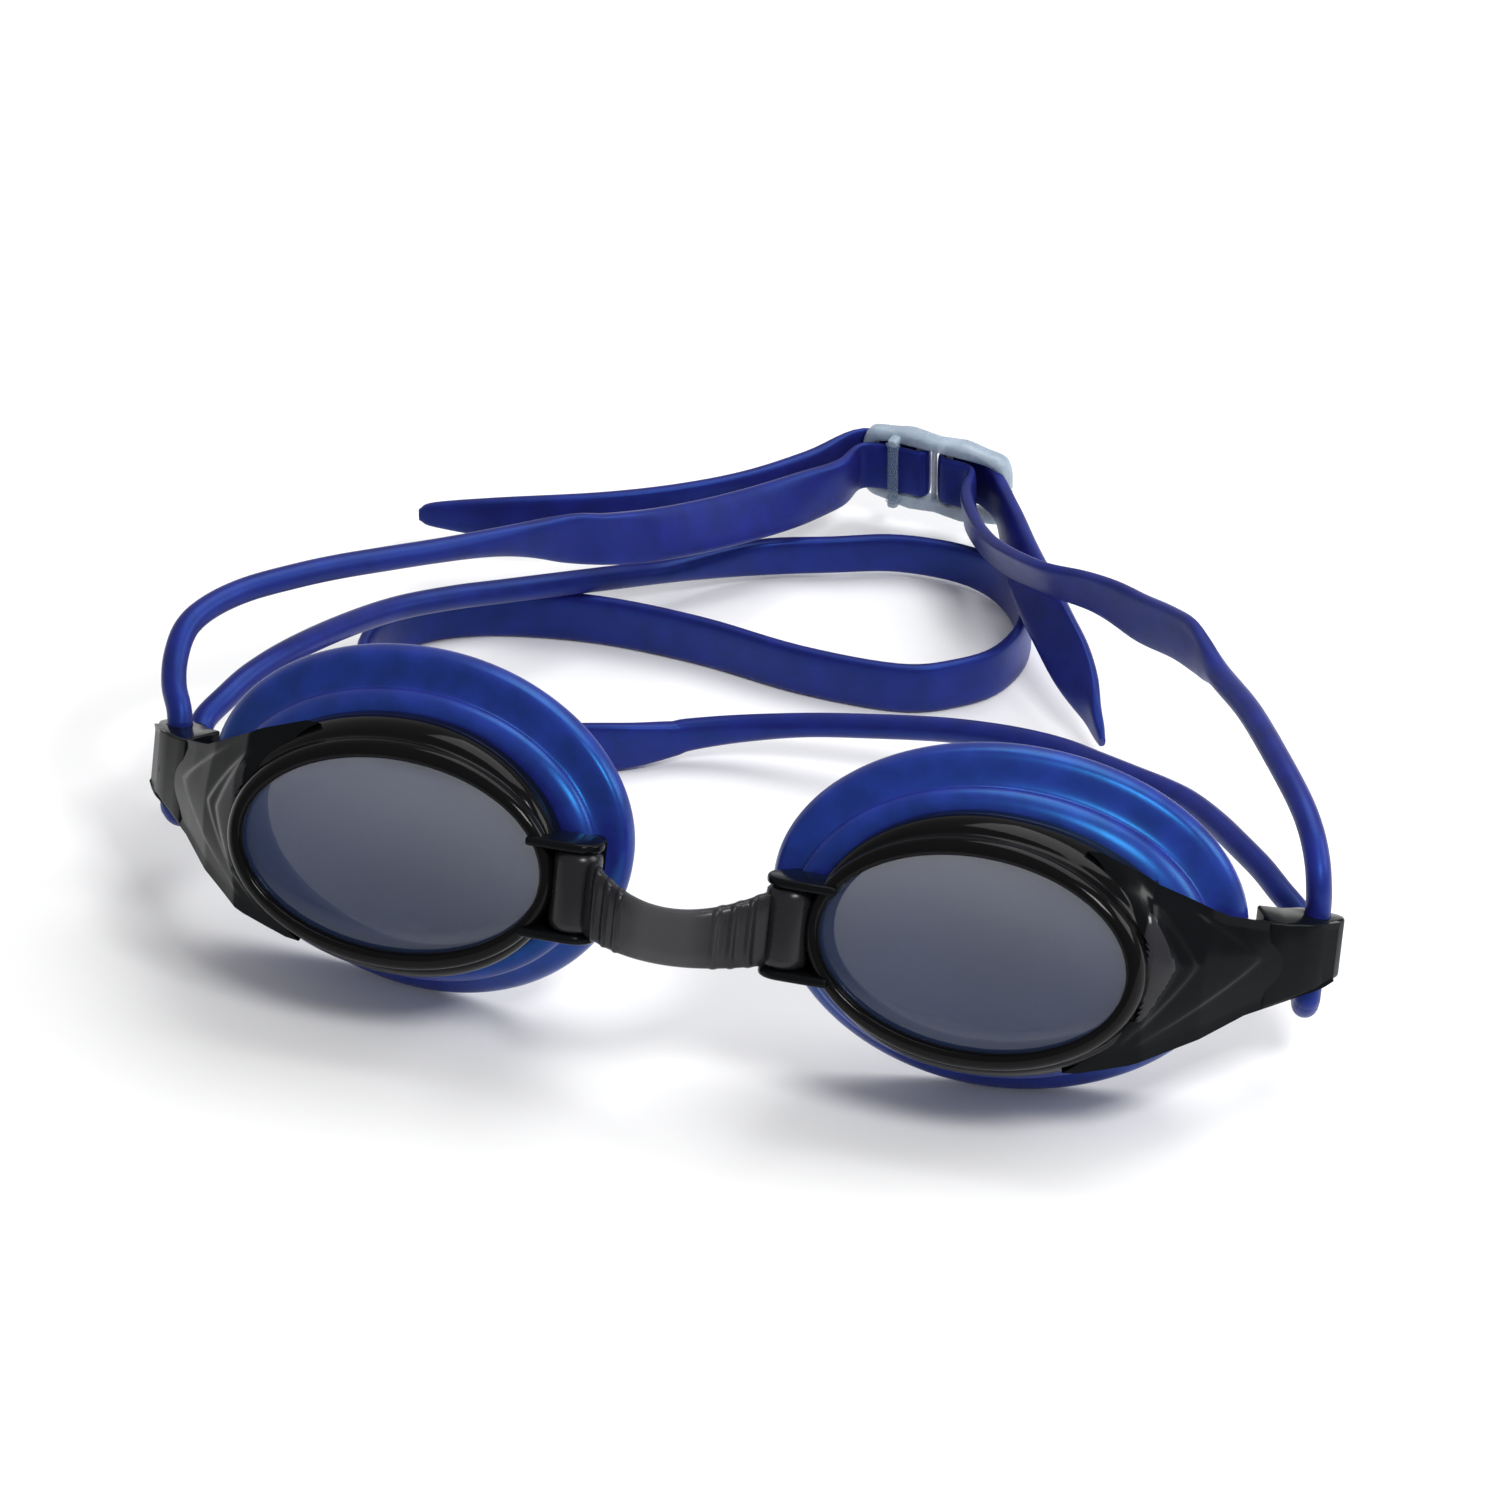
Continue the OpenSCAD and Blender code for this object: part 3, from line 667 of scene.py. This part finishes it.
def build_bridge():
    """The soft arch between the cups, with a round end block on each post."""
    end = KNUCKLE[0] - 1.9
    rings = [bridge_section(x, end) for x in np.linspace(-end, end, 181)]
    parts = [skinned("arch", rings, BRIDGE_SMOKE, caps=True)]
    low, high = KNUCKLE_BOTTOM + 0.2, KNUCKLE_TOP - 0.2
    outline = [
        (1.6, low), (2.5, low), (3.0, low + 0.5), (3.1, low + 1.2),
        (3.1, high - 1.2), (3.0, high - 0.5), (2.5, high), (1.6, high),
    ]
    for side in SIDES:
        parts.append(skinned("end", upright_rings(side, outline, 64), BRIDGE_SMOKE, loop=True))
    obj = join("nose_strap", parts)
    smooth_by_angle(obj, 40)
    return obj


# ---- Strap: the route of part.scad, in millimetres, with the plan centred ----
PLAN_Y = 64.0
BAND_W, BAND_T, CORD_D = 7.2, 1.9, 3.3
OUTWARD = (1, 0, 0)
FACING_SIDE = (0.75, -0.36, 0.55)
FACING_UP = (0.62, 0.57, 0.545)
FACING_DOWN = (0.63, 0.51, -0.57)


# A row of the route: x, y, z, width, thickness, hold (0 to 1) and the direction the thickness is held to
def tapered(x, y, z, w, t, hold, direction):
    return (x, y, z, w, t, hold, *direction)


def tip(x, y, z, w, t):
    return tapered(x, y, z, w, t, 0, OUTWARD)


def flat(x, y, z):
    return tip(x, y, z, BAND_W, BAND_T)


def half(x, y, z):
    """Part of the way from the flat band to the round cord."""
    return tip(x, y, z, BAND_W * 0.72, BAND_T * 1.25)


def cord(x, y, z):
    return tip(x, y, z, CORD_D, CORD_D)


def lean_to(x, y, z, hold, direction):
    return tapered(x, y, z, BAND_W, BAND_T, hold, direction)


UPPER_LEFT = [
    flat(-15.1, 125.9, 10), lean_to(-18.3, 119.6, 11, 0.5, FACING_SIDE),
    lean_to(-21.8, 112.5, 12.6, 0.8, FACING_SIDE), lean_to(-25.3, 104.9, 14.8, 0.9, FACING_SIDE),
    lean_to(-28.8, 98, 17, 0.8, FACING_SIDE), lean_to(-32.5, 91.7, 19.2, 0.5, FACING_SIDE),
    lean_to(-36.6, 86.8, 21, 0.2, FACING_SIDE), flat(-40.4, 83.6, 22.4), half(-44.5, 79.9, 23.8),
    tip(-48.9, 75.3, 25.2, 3.9, 2.9), cord(-54.8, 69.1, 26.6), cord(-60, 63.6, 27.8), cord(-64.6, 58.7, 28.8),
    cord(-68.7, 53.9, 29.6), cord(-73.4, 48.2, 30.2), cord(-76.5, 42.7, 30.4), cord(-78.1, 38.1, 29.8),
    cord(-78.2, 34, 28), cord(-77.3, 30.4, 25.8)
]
LOWER_LEFT = [
    cord(-74.6, 33.2, 18.8), cord(-73, 37.9, 20), cord(-71.3, 43.4, 20.4), cord(-68.8, 51.1, 19.6),
    cord(-65.5, 61.7, 17.2), cord(-61.4, 71.8, 14.6), cord(-55.9, 79, 12.9), cord(-50.1, 85.1, 11.3),
    cord(-44.1, 91.1, 9.8), cord(-38.5, 98.4, 7.4), cord(-33.4, 104.9, 5.3)
]
LOWER_BAND = [
    half(-23.5, 113.6, 3.9), tip(-13.9, 117.4, 3.8, 5.4, BAND_T), tip(-4.9, 120.4, 3.8, 5.6, BAND_T),
    tip(5.1, 119.9, 3.8, 6, BAND_T), flat(12.1, 115.4, 3.8), flat(16.6, 105.9, 3.8), flat(15.6, 96.9, 3.8),
    flat(10.6, 91.4, 3.8), flat(3.6, 88.4, 3.8), flat(-9.9, 88.9, 3.8), flat(-24.9, 91.9, 3.8),
    flat(-39.4, 92.9, 3.8), flat(-52.9, 90.9, 3.8), flat(-61.4, 86.9, 3.8), flat(-65.9, 80.9, 3.8),
    flat(-66.4, 72.9, 3.8), flat(-61.4, 65.9, 3.8), flat(-52.9, 61.9, 3.8), flat(-40.9, 60.9, 3.8),
    flat(-28.9, 63.9, 3.8), half(-22, 67.6, 3.9)
]
LOWER_RIGHT = [
    tip(-19.6, 68.9, 4.3, 4.6, 2.6), tip(-13, 70.8, 5.3, 3.9, 2.9), cord(-4.3, 71.6, 7), cord(4.7, 71.5, 8.6),
    cord(15.2, 70.9, 10.4), cord(24.4, 69.1, 12), cord(31.9, 66.3, 13.4), cord(38.2, 62.4, 14.8),
    cord(44.4, 58.4, 16.2), cord(48.4, 55.8, 17.1), cord(52.6, 52.6, 18), cord(57.2, 48, 18.8),
    cord(61.5, 43.3, 19.2), cord(65.3, 39.3, 19.2), cord(68.6, 35.6, 18.8), cord(71.7, 32.7, 18)
]
UPPER_RIGHT = [
    cord(75.2, 27.9, 26.2), cord(74.3, 30.2, 28.6), cord(72.7, 33.4, 30.4), cord(70.2, 37.8, 31.4),
    cord(65.6, 45.5, 31.6), cord(59.2, 56.6, 30.6), cord(53.7, 64.9, 29.2), half(50.3, 70.1, 28.2),
    flat(47.1, 74.9, 27.2), flat(43.3, 79.2, 25.8), flat(38.2, 84.1, 23.8),
    lean_to(33.1, 88.7, 22.5, 0.3, FACING_UP), lean_to(28.3, 92.7, 21, 0.7, FACING_UP),
    lean_to(22.8, 96.2, 19.4, 1, FACING_UP), lean_to(17.7, 101.1, 17.3, 1, FACING_UP),
    lean_to(12.6, 107.3, 14.8, 0.8, FACING_UP), lean_to(7.8, 115, 12.4, 0.5, FACING_UP),
    lean_to(3.9, 123.4, 10.6, 0.2, FACING_UP)
]
TAIL_LEFT = [
    tip(-68, 102, 9.9, 1.6, 0.9), tip(-66, 102.6, 9.9, 3.6, 1.5), tip(-57.5, 104.4, 9.9, 6, 1.8),
    flat(-44.5, 108.6, 9.9), flat(-35, 113.6, 9.9), flat(-26.8, 119.6, 9.9), flat(-20, 127, 9.9)
]
TAIL_RIGHT = [
    flat(7.1, 128.1, 9.9), lean_to(10.4, 121, 10.5, 0.3, FACING_DOWN),
    lean_to(14.4, 112.2, 11, 0.7, FACING_DOWN), lean_to(18.8, 104.2, 11, 1, FACING_DOWN),
    lean_to(22.8, 98, 10.2, 1, FACING_DOWN), lean_to(26.3, 93.4, 8.6, 0.9, FACING_DOWN),
    tapered(29.6, 88.9, 6.8, 5.4, 1.8, 0.7, FACING_DOWN), tip(32.2, 85.1, 4.8, 3.4, 1.5),
    tip(33.4, 82.9, 4.2, 1.6, 0.9)
]
TURN_R = math.dist(LEG_OUT, LEG_IN) / 2
TURN_AT = (np.array(LEG_OUT) + np.array(LEG_IN)) / 2
TURN_DIR = (np.array(LEG_OUT) - np.array(LEG_IN)) / (2 * TURN_R)
TURN_Z, LEG_OUT_TOP, LEG_IN_TOP = -4.4, 5.6, 1.5


def turn_rows(side):
    """The strap down the temple's channel, round its foot and up behind it."""
    stops = [(TURN_R, LEG_OUT_TOP), (TURN_R, TURN_Z)]
    for a in np.radians(range(30, 151, 30)):
        stops.append((TURN_R * math.cos(a), TURN_Z - TURN_R * math.sin(a)))
    stops += [(-TURN_R, TURN_Z), (-TURN_R, LEG_IN_TOP)]
    across = (-SIDES[side] * TURN_DIR[1], TURN_DIR[0], 0)
    rows = []
    for along, z in stops:
        x, y = TURN_AT + along * TURN_DIR
        p = in_cup(side, (x, y, z)) / MM
        rows.append(tapered(p[0], p[1] + PLAN_Y, p[2], CORD_D, CORD_D, 1, across))
    return rows


BUCKLE_AT = np.array([-2.9, 132.1, 9.9])
BUCKLE_TURN = math.radians(-9)
BUCKLE_U = np.array([math.cos(BUCKLE_TURN), math.sin(BUCKLE_TURN), 0])
BUCKLE_V = np.array([-math.sin(BUCKLE_TURN), math.cos(BUCKLE_TURN), 0])
BAR_R, BAR_GAP = 0.5, 0.1
FOLD_T = 1.05
FOLD_R = BAR_R + BAR_GAP + FOLD_T / 2
FOLD_BARS = {"left": -2.75, "right": 1.75}


def layer(u, v):
    """A row of thinned band in the buckle, u along it and v behind its middle."""
    return tip(*(BUCKLE_AT + u * BUCKLE_U + v * BUCKLE_V), BAND_W, FOLD_T)


def fold_rows(side, front, rear):
    """In through front, round one bar and out through rear."""
    bar, s = FOLD_BARS[side], SIDES[side]
    rows = [layer(u, v) for u, v in front] + [layer(bar, -FOLD_R)]
    for a in np.radians(range(-60, 61, 30)):
        rows.append(layer(bar - s * FOLD_R * math.cos(a), FOLD_R * math.sin(a)))
    return rows + [layer(bar, FOLD_R)] + [layer(u, v) for u, v in rear]


def in_plan(points):
    """Points of the plan, in millimetres, as metres in the frame."""
    return (np.asarray(points) - np.array([0, PLAN_Y, 0])) * MM


def unit(v):
    return v / max(np.linalg.norm(v), 1e-9)


def facing(row, tangent):
    """Direction of a strip's thickness: level where hold is 0, kept to the held direction where it is 1."""
    hold, held = float(np.clip(row[5], 0, 1)), unit(row[6:9])
    steep = abs(tangent[2]) > 0.98
    leaning = tangent + np.array([0, 0.3, 0]) if steep else tangent
    side = unit(np.cross(leaning, (0, 0, 1)))
    if hold > 0:
        kept = unit(held - np.dot(held, tangent) * tangent)
        level = -side if np.dot(side, held) < 0 else side
        side = unit((1 - hold) * level + hold * kept)
    return side


def strip_section(row, tangent, side, count=28):
    """A section of strap: round where it is as thick as wide, squarer where it is flat."""
    rise = np.cross(tangent, side)
    wide, thick = row[3], row[4]
    flatness = np.clip((wide / thick - 1.1) / 1.2, 0, 1)
    across, up = squared_round(count, 1 - 0.5 * flatness, 1 - 0.5 * flatness)
    return row[:3] + side * (thick / 2 * across)[:, None] + rise * (wide / 2 * up)[:, None]


def steady(directions):
    """Each direction turned, where it has flipped, to the same side as the one before, then evened out."""
    kept = [directions[0]]
    for direction in directions[1:]:
        kept.append(-direction if np.dot(direction, kept[-1]) < 0 else direction)
    for _ in range(4):
        kept = [kept[0]] + [unit(a + 2 * b + c) for a, b, c in zip(kept, kept[1:], kept[2:])] + [kept[-1]]
    return kept


def build_strip(name, rows, before, after, steps=6):
    """A strip of strap through rows; before and after are the neighbours that its ends run on to."""
    whole = curve_through([before, *rows, after], steps)
    tangents = [unit(whole[i + 1][:3] - whole[i - 1][:3]) for i in range(steps, len(whole) - steps)]
    whole = whole[steps:-steps]
    sides = steady([facing(row, t) for row, t in zip(whole, tangents)])
    sides = [unit(s - np.dot(s, t) * t) for s, t in zip(sides, tangents)]
    rings = [in_plan(strip_section(*station)) for station in zip(whole, tangents, sides)]
    strip = skinned(name, rings, STRAP_BLUE, caps=True)
    smooth_by_angle(strip, 70)
    return strip


def beyond(first, second):
    """A row as far before the first as the second is after it."""
    return tuple(2 * np.array(first) - np.array(second))


def build_strap():
    """Every strip of the strap, by the node that it stands for."""
    tl, tr = turn_rows("left"), turn_rows("right")
    fl = fold_rows("left", [(-10.6, -3), (-8, -1.45)], [(-11.7, FOLD_R)])
    fr = fold_rows("right", [(5.8, -1.7)], [(5.2, 0.95), (7.8, -0.3)])
    low_left = [tl[-1], *LOWER_LEFT, *LOWER_BAND]
    low_right = [LOWER_BAND[-1], *LOWER_RIGHT, tr[-1]]
    past_left, past_right = beyond(*TAIL_LEFT[:2]), beyond(*TAIL_RIGHT[:-3:-1])
    return {
        "strap_turn_left": build_strip("strap_loop_left", tl, UPPER_LEFT[-1], LOWER_LEFT[0]),
        "strap_turn_right": build_strip("strap_loop_right", tr, UPPER_RIGHT[0], LOWER_RIGHT[-1]),
        "strap_upper_left": build_strip("strap_top_left", [fl[0], *UPPER_LEFT, tl[0]], fl[1], tl[1]),
        "strap_upper_right": build_strip("strap_top_right", [tr[0], *UPPER_RIGHT, fr[0]], tr[1], fr[1]),
        "strap_lower_left": build_strip("strap_low_left", low_left, tl[-2], LOWER_RIGHT[0]),
        "strap_lower_right": build_strip("strap_low_right", low_right, LOWER_BAND[-2], tr[-2]),
        "strap_fold_left": build_strip("strap_hook_left", fl, UPPER_LEFT[0], TAIL_LEFT[-1]),
        "strap_fold_right": build_strip("strap_hook_right", fr, UPPER_RIGHT[-1], TAIL_RIGHT[0]),
        "strap_tail_left": build_strip("strap_end_left", [*TAIL_LEFT, fl[-1]], past_left, fl[-2]),
        "strap_tail_right": build_strip("strap_end_right", [fr[-1], *TAIL_RIGHT], fr[-2], past_right),
    }


# ---- Buckle ----
BUCKLE_LENGTH, BUCKLE_HEIGHT, BUCKLE_DEPTH = 22.0, 12.0, 2.7
WINDOW_HALF, POST_W = 3.95, 1.7
# The rails' wave: its pitch, its share of the height, and where the rails begin
WAVE_PITCH, WAVE_DEPTH, RAIL_Z = 7.4, 0.04, 4.2
CENTRE_BAR, CENTRE_R = -0.5, 0.4
GUARD_U, GUARD_V, GUARD_WIDER, BOSS_Z = -5.65, -2.5, 1.6, 4.9
SLIT_HALF = 0.4


def in_buckle(points):
    """Points in the buckle's axes, in millimetres: along it, back through it and up."""
    p = np.asarray(points)
    along, back, up = p[..., :1] * BUCKLE_U, p[..., 1:2] * BUCKLE_V, p[..., 2:3] * np.array([0, 0, 1])
    return in_plan(BUCKLE_AT + along + back + up)


def build_boss(height):
    """The lump on a rail that carries the guard bar in front of the strap."""
    across, up = squared_round(24, 0.6, 0.6)
    rings = []
    for share, v in ((0.4, -3.0), (0.8, -2.9), (1.0, -2.5), (1.0, -0.6), (0.6, 0.2)):
        points = [GUARD_U + share * 0.75 * across, np.full(24, v), height + share * 0.6 * up]
        rings.append(in_buckle(np.stack(points, -1)))
    return skinned("boss", rings, BUCKLE_CLEAR, caps=True)


def build_rails():
    """The two wavy rails and the end posts as one frame, with an open slit through the right post."""
    count, half_depth = 72, BUCKLE_DEPTH / 2
    rings = []
    across, up = squared_round(count, 0.42, 0.42)
    for inset, y in (
        (0.72, -half_depth), (0.27, -half_depth + 0.15), (0.0, -half_depth + 0.7),
        (0.0, half_depth - 0.7), (0.27, half_depth - 0.15), (0.72, half_depth),
    ):
        x = (BUCKLE_LENGTH / 2 - inset) * across
        z = (BUCKLE_HEIGHT / 2 - inset) * up
        z *= 1 - WAVE_DEPTH * np.cos(x * 2 * math.pi / WAVE_PITCH) * (np.abs(z) > RAIL_Z)
        rings.append(np.stack([x, np.full(count, y), z], -1))
    across, up = squared_round(count, 0.3, 0.3)
    for inset, y in (
        (0.3, half_depth - 0.1), (0.0, half_depth - 0.5), (0.0, -half_depth + 0.5), (0.3, -half_depth + 0.1),
    ):
        x = (BUCKLE_LENGTH / 2 - POST_W + inset) * across
        z = (WINDOW_HALF + inset) * up
        rings.append(np.stack([x, np.full(count, y), z], -1))
    rails = skinned("rails", [in_buckle(ring) for ring in rings], BUCKLE_CLEAR, loop=True)
    slit = []
    for u in (BUCKLE_LENGTH / 2 - 2.5, BUCKLE_LENGTH / 2 + 1):
        corners = ((-2, -SLIT_HALF), (2, -SLIT_HALF), (2, SLIT_HALF), (-2, SLIT_HALF))
        slit.append(in_buckle([(u, v, z) for v, z in corners]))
    cut(rails, skinned("slit", slit, BUCKLE_CLEAR, caps=True))
    return rails


def build_bar(u, v, radius, wider=1):
    """An upright bar that spreads where it meets the rails. A wider bar is a thin, clear slat."""
    angles = round_the(24)
    rings = []
    for z, spread in ((-4.6, 1.3), (-3.9, 1), (3.9, 1), (4.6, 1.3)):
        x, y = u + wider * spread * radius * np.cos(angles), v + spread * radius * np.sin(angles)
        rings.append(in_buckle(np.stack([x, y, np.full(24, z)], -1)))
    bar = skinned("bar", rings, BUCKLE_CLEAR, caps=True)
    bar.data.materials.append(BUCKLE_THIN)
    for polygon in bar.data.polygons:
        polygon.material_index = THIN_FACES if wider > 1 else 0
    return bar


def build_buckle():
    """A ladder slide: two wavy rails, end posts, three bars and a guard in front of the strap."""
    parts = [
        build_rails(),
        build_bar(FOLD_BARS["left"], 0, BAR_R),
        build_bar(CENTRE_BAR, 0, CENTRE_R),
        build_bar(FOLD_BARS["right"], 0, BAR_R),
        build_bar(GUARD_U, GUARD_V, BAR_R, GUARD_WIDER),
        build_boss(-BOSS_Z),
        build_boss(BOSS_Z),
    ]
    obj = join("strap_slide", parts)
    smooth_by_angle(obj, 50)
    return obj


# ---- Put the pieces on their bodies ----
STRAP_BODIES = {
    "strap_turn_left": "left_eyecup", "strap_turn_right": "right_eyecup", "strap_fold_left": "bridge",
    "strap_fold_right": "bridge",
}
strips = build_strap()
for node, strip in strips.items():
    if node == "strap_lower_left":
        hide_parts("strap_lower_left", "strap_lower_band")
    else:
        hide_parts(node)
    if node in STRAP_BODIES:
        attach(strip, STRAP_BODIES[node])

# Strips that cross a joint: the body at the far end, and the rows where the blend starts and ends. Here each
# strip only has its transform baked into its mesh.
BLENDS = (
    ("strap_upper_left", "left_eyecup", UPPER_LEFT[8], UPPER_LEFT[-1]),
    ("strap_lower_left", "left_eyecup", LOWER_LEFT[7], LOWER_LEFT[0]),
    ("strap_upper_right", "right_eyecup", UPPER_RIGHT[10], UPPER_RIGHT[0]),
    ("strap_lower_right", "right_eyecup", LOWER_RIGHT[4], LOWER_RIGHT[-1]),
    ("strap_tail_left", "left_tail", TAIL_LEFT[-1], TAIL_LEFT[3]),
    ("strap_tail_right", "right_tail", TAIL_RIGHT[0], TAIL_RIGHT[3]),
)
for node, body, start, end in BLENDS:
    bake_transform(strips[node])

for side in SIDES:
    for obj, node, slot in (
        (build_frame(side), "frame_" + side, "smoke_frame"),
        (build_lens(side), "lens_" + side, "smoke_lens"),
        (build_gasket(side), "gasket_" + side, "blue_gasket"),
    ):
        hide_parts(node)
        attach(obj, side + "_eyecup")
for obj, node, slot in (
    (build_bridge(), "nose_bridge", "smoke_bridge"),
    (build_buckle(), "buckle", "clear_buckle"),
):
    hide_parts(node)
    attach(obj, "bridge")

# ---- Studio ----
WORLD_STRENGTH = 0.42


def build_floor():
    made = Shader("studio_floor")
    made.colour(made.noise(3, 2), (0.3, (0.93, 0.93, 0.935)), (0.7, (0.94, 0.94, 0.94)))
    made.set(Roughness=0.7)
    reach = 1.5
    verts = [(-reach, -reach, 0), (reach, -reach, 0), (reach, reach, 0), (-reach, reach, 0)]
    floor = make_object("floor", verts, [(0, 1, 2, 3)], made.material, smooth=False)


def area_light(name, place, target, size, power):
    data = bpy.data.lights.new(name, "AREA")
    data.shape = "RECTANGLE"
    data.size, data.size_y = size
    data.energy = power
    obj = bpy.data.objects.new(name, data)
    obj.location = place
    obj.rotation_euler = (Vector(target) - Vector(place)).to_track_quat("-Z", "Y").to_euler()
    bpy.context.scene.collection.objects.link(obj)


def build_world():
    world = bpy.data.worlds.new("studio")
    bpy.context.scene.world = world
    world.use_nodes = True
    background = world.node_tree.nodes["Background"]
    background.inputs["Color"].default_value = (1, 1, 1, 1)
    background.inputs["Strength"].default_value = WORLD_STRENGTH


AZIMUTH, ELEVATION = math.radians(16.5), math.radians(34.0)
DISTANCE = 1.1
LENS_LENGTH, SENSOR_WIDTH = 212.256, 36
# The point in the middle of the picture, in millimetres from midway between the lenses
AIM = (5.52, 12.88, 15.98)


def build_camera():
    data = bpy.data.cameras.new("camera")
    data.sensor_width = SENSOR_WIDTH
    data.lens = LENS_LENGTH
    data.clip_start = 0.05
    level = math.cos(ELEVATION)
    out = Vector((math.sin(AZIMUTH) * level, -math.cos(AZIMUTH) * level, math.sin(ELEVATION)))
    aim = Vector(GOGGLES_AT) + Vector(AIM) * MM
    obj = bpy.data.objects.new("camera", data)
    obj.location = aim + out * DISTANCE
    obj.rotation_euler = (-out).to_track_quat("-Z", "Y").to_euler()
    bpy.context.scene.collection.objects.link(obj)
    bpy.context.scene.camera = obj


build_floor()
build_world()
area_light("softbox_top", (0.12, 0.26, 0.62), (0, 0, 0), (0.5, 0.45), 2.7)
area_light("softbox_side", (0.62, 0.22, 0.38), (0, 0, 0.02), (0.32, 0.3), 1.8)
area_light("softbox_front", (0.32, -0.30, 0.55), (0, 0, 0.02), (0.2, 0.14), 2.3)
bpy.context.scene.view_settings.view_transform = "Standard"
build_camera()
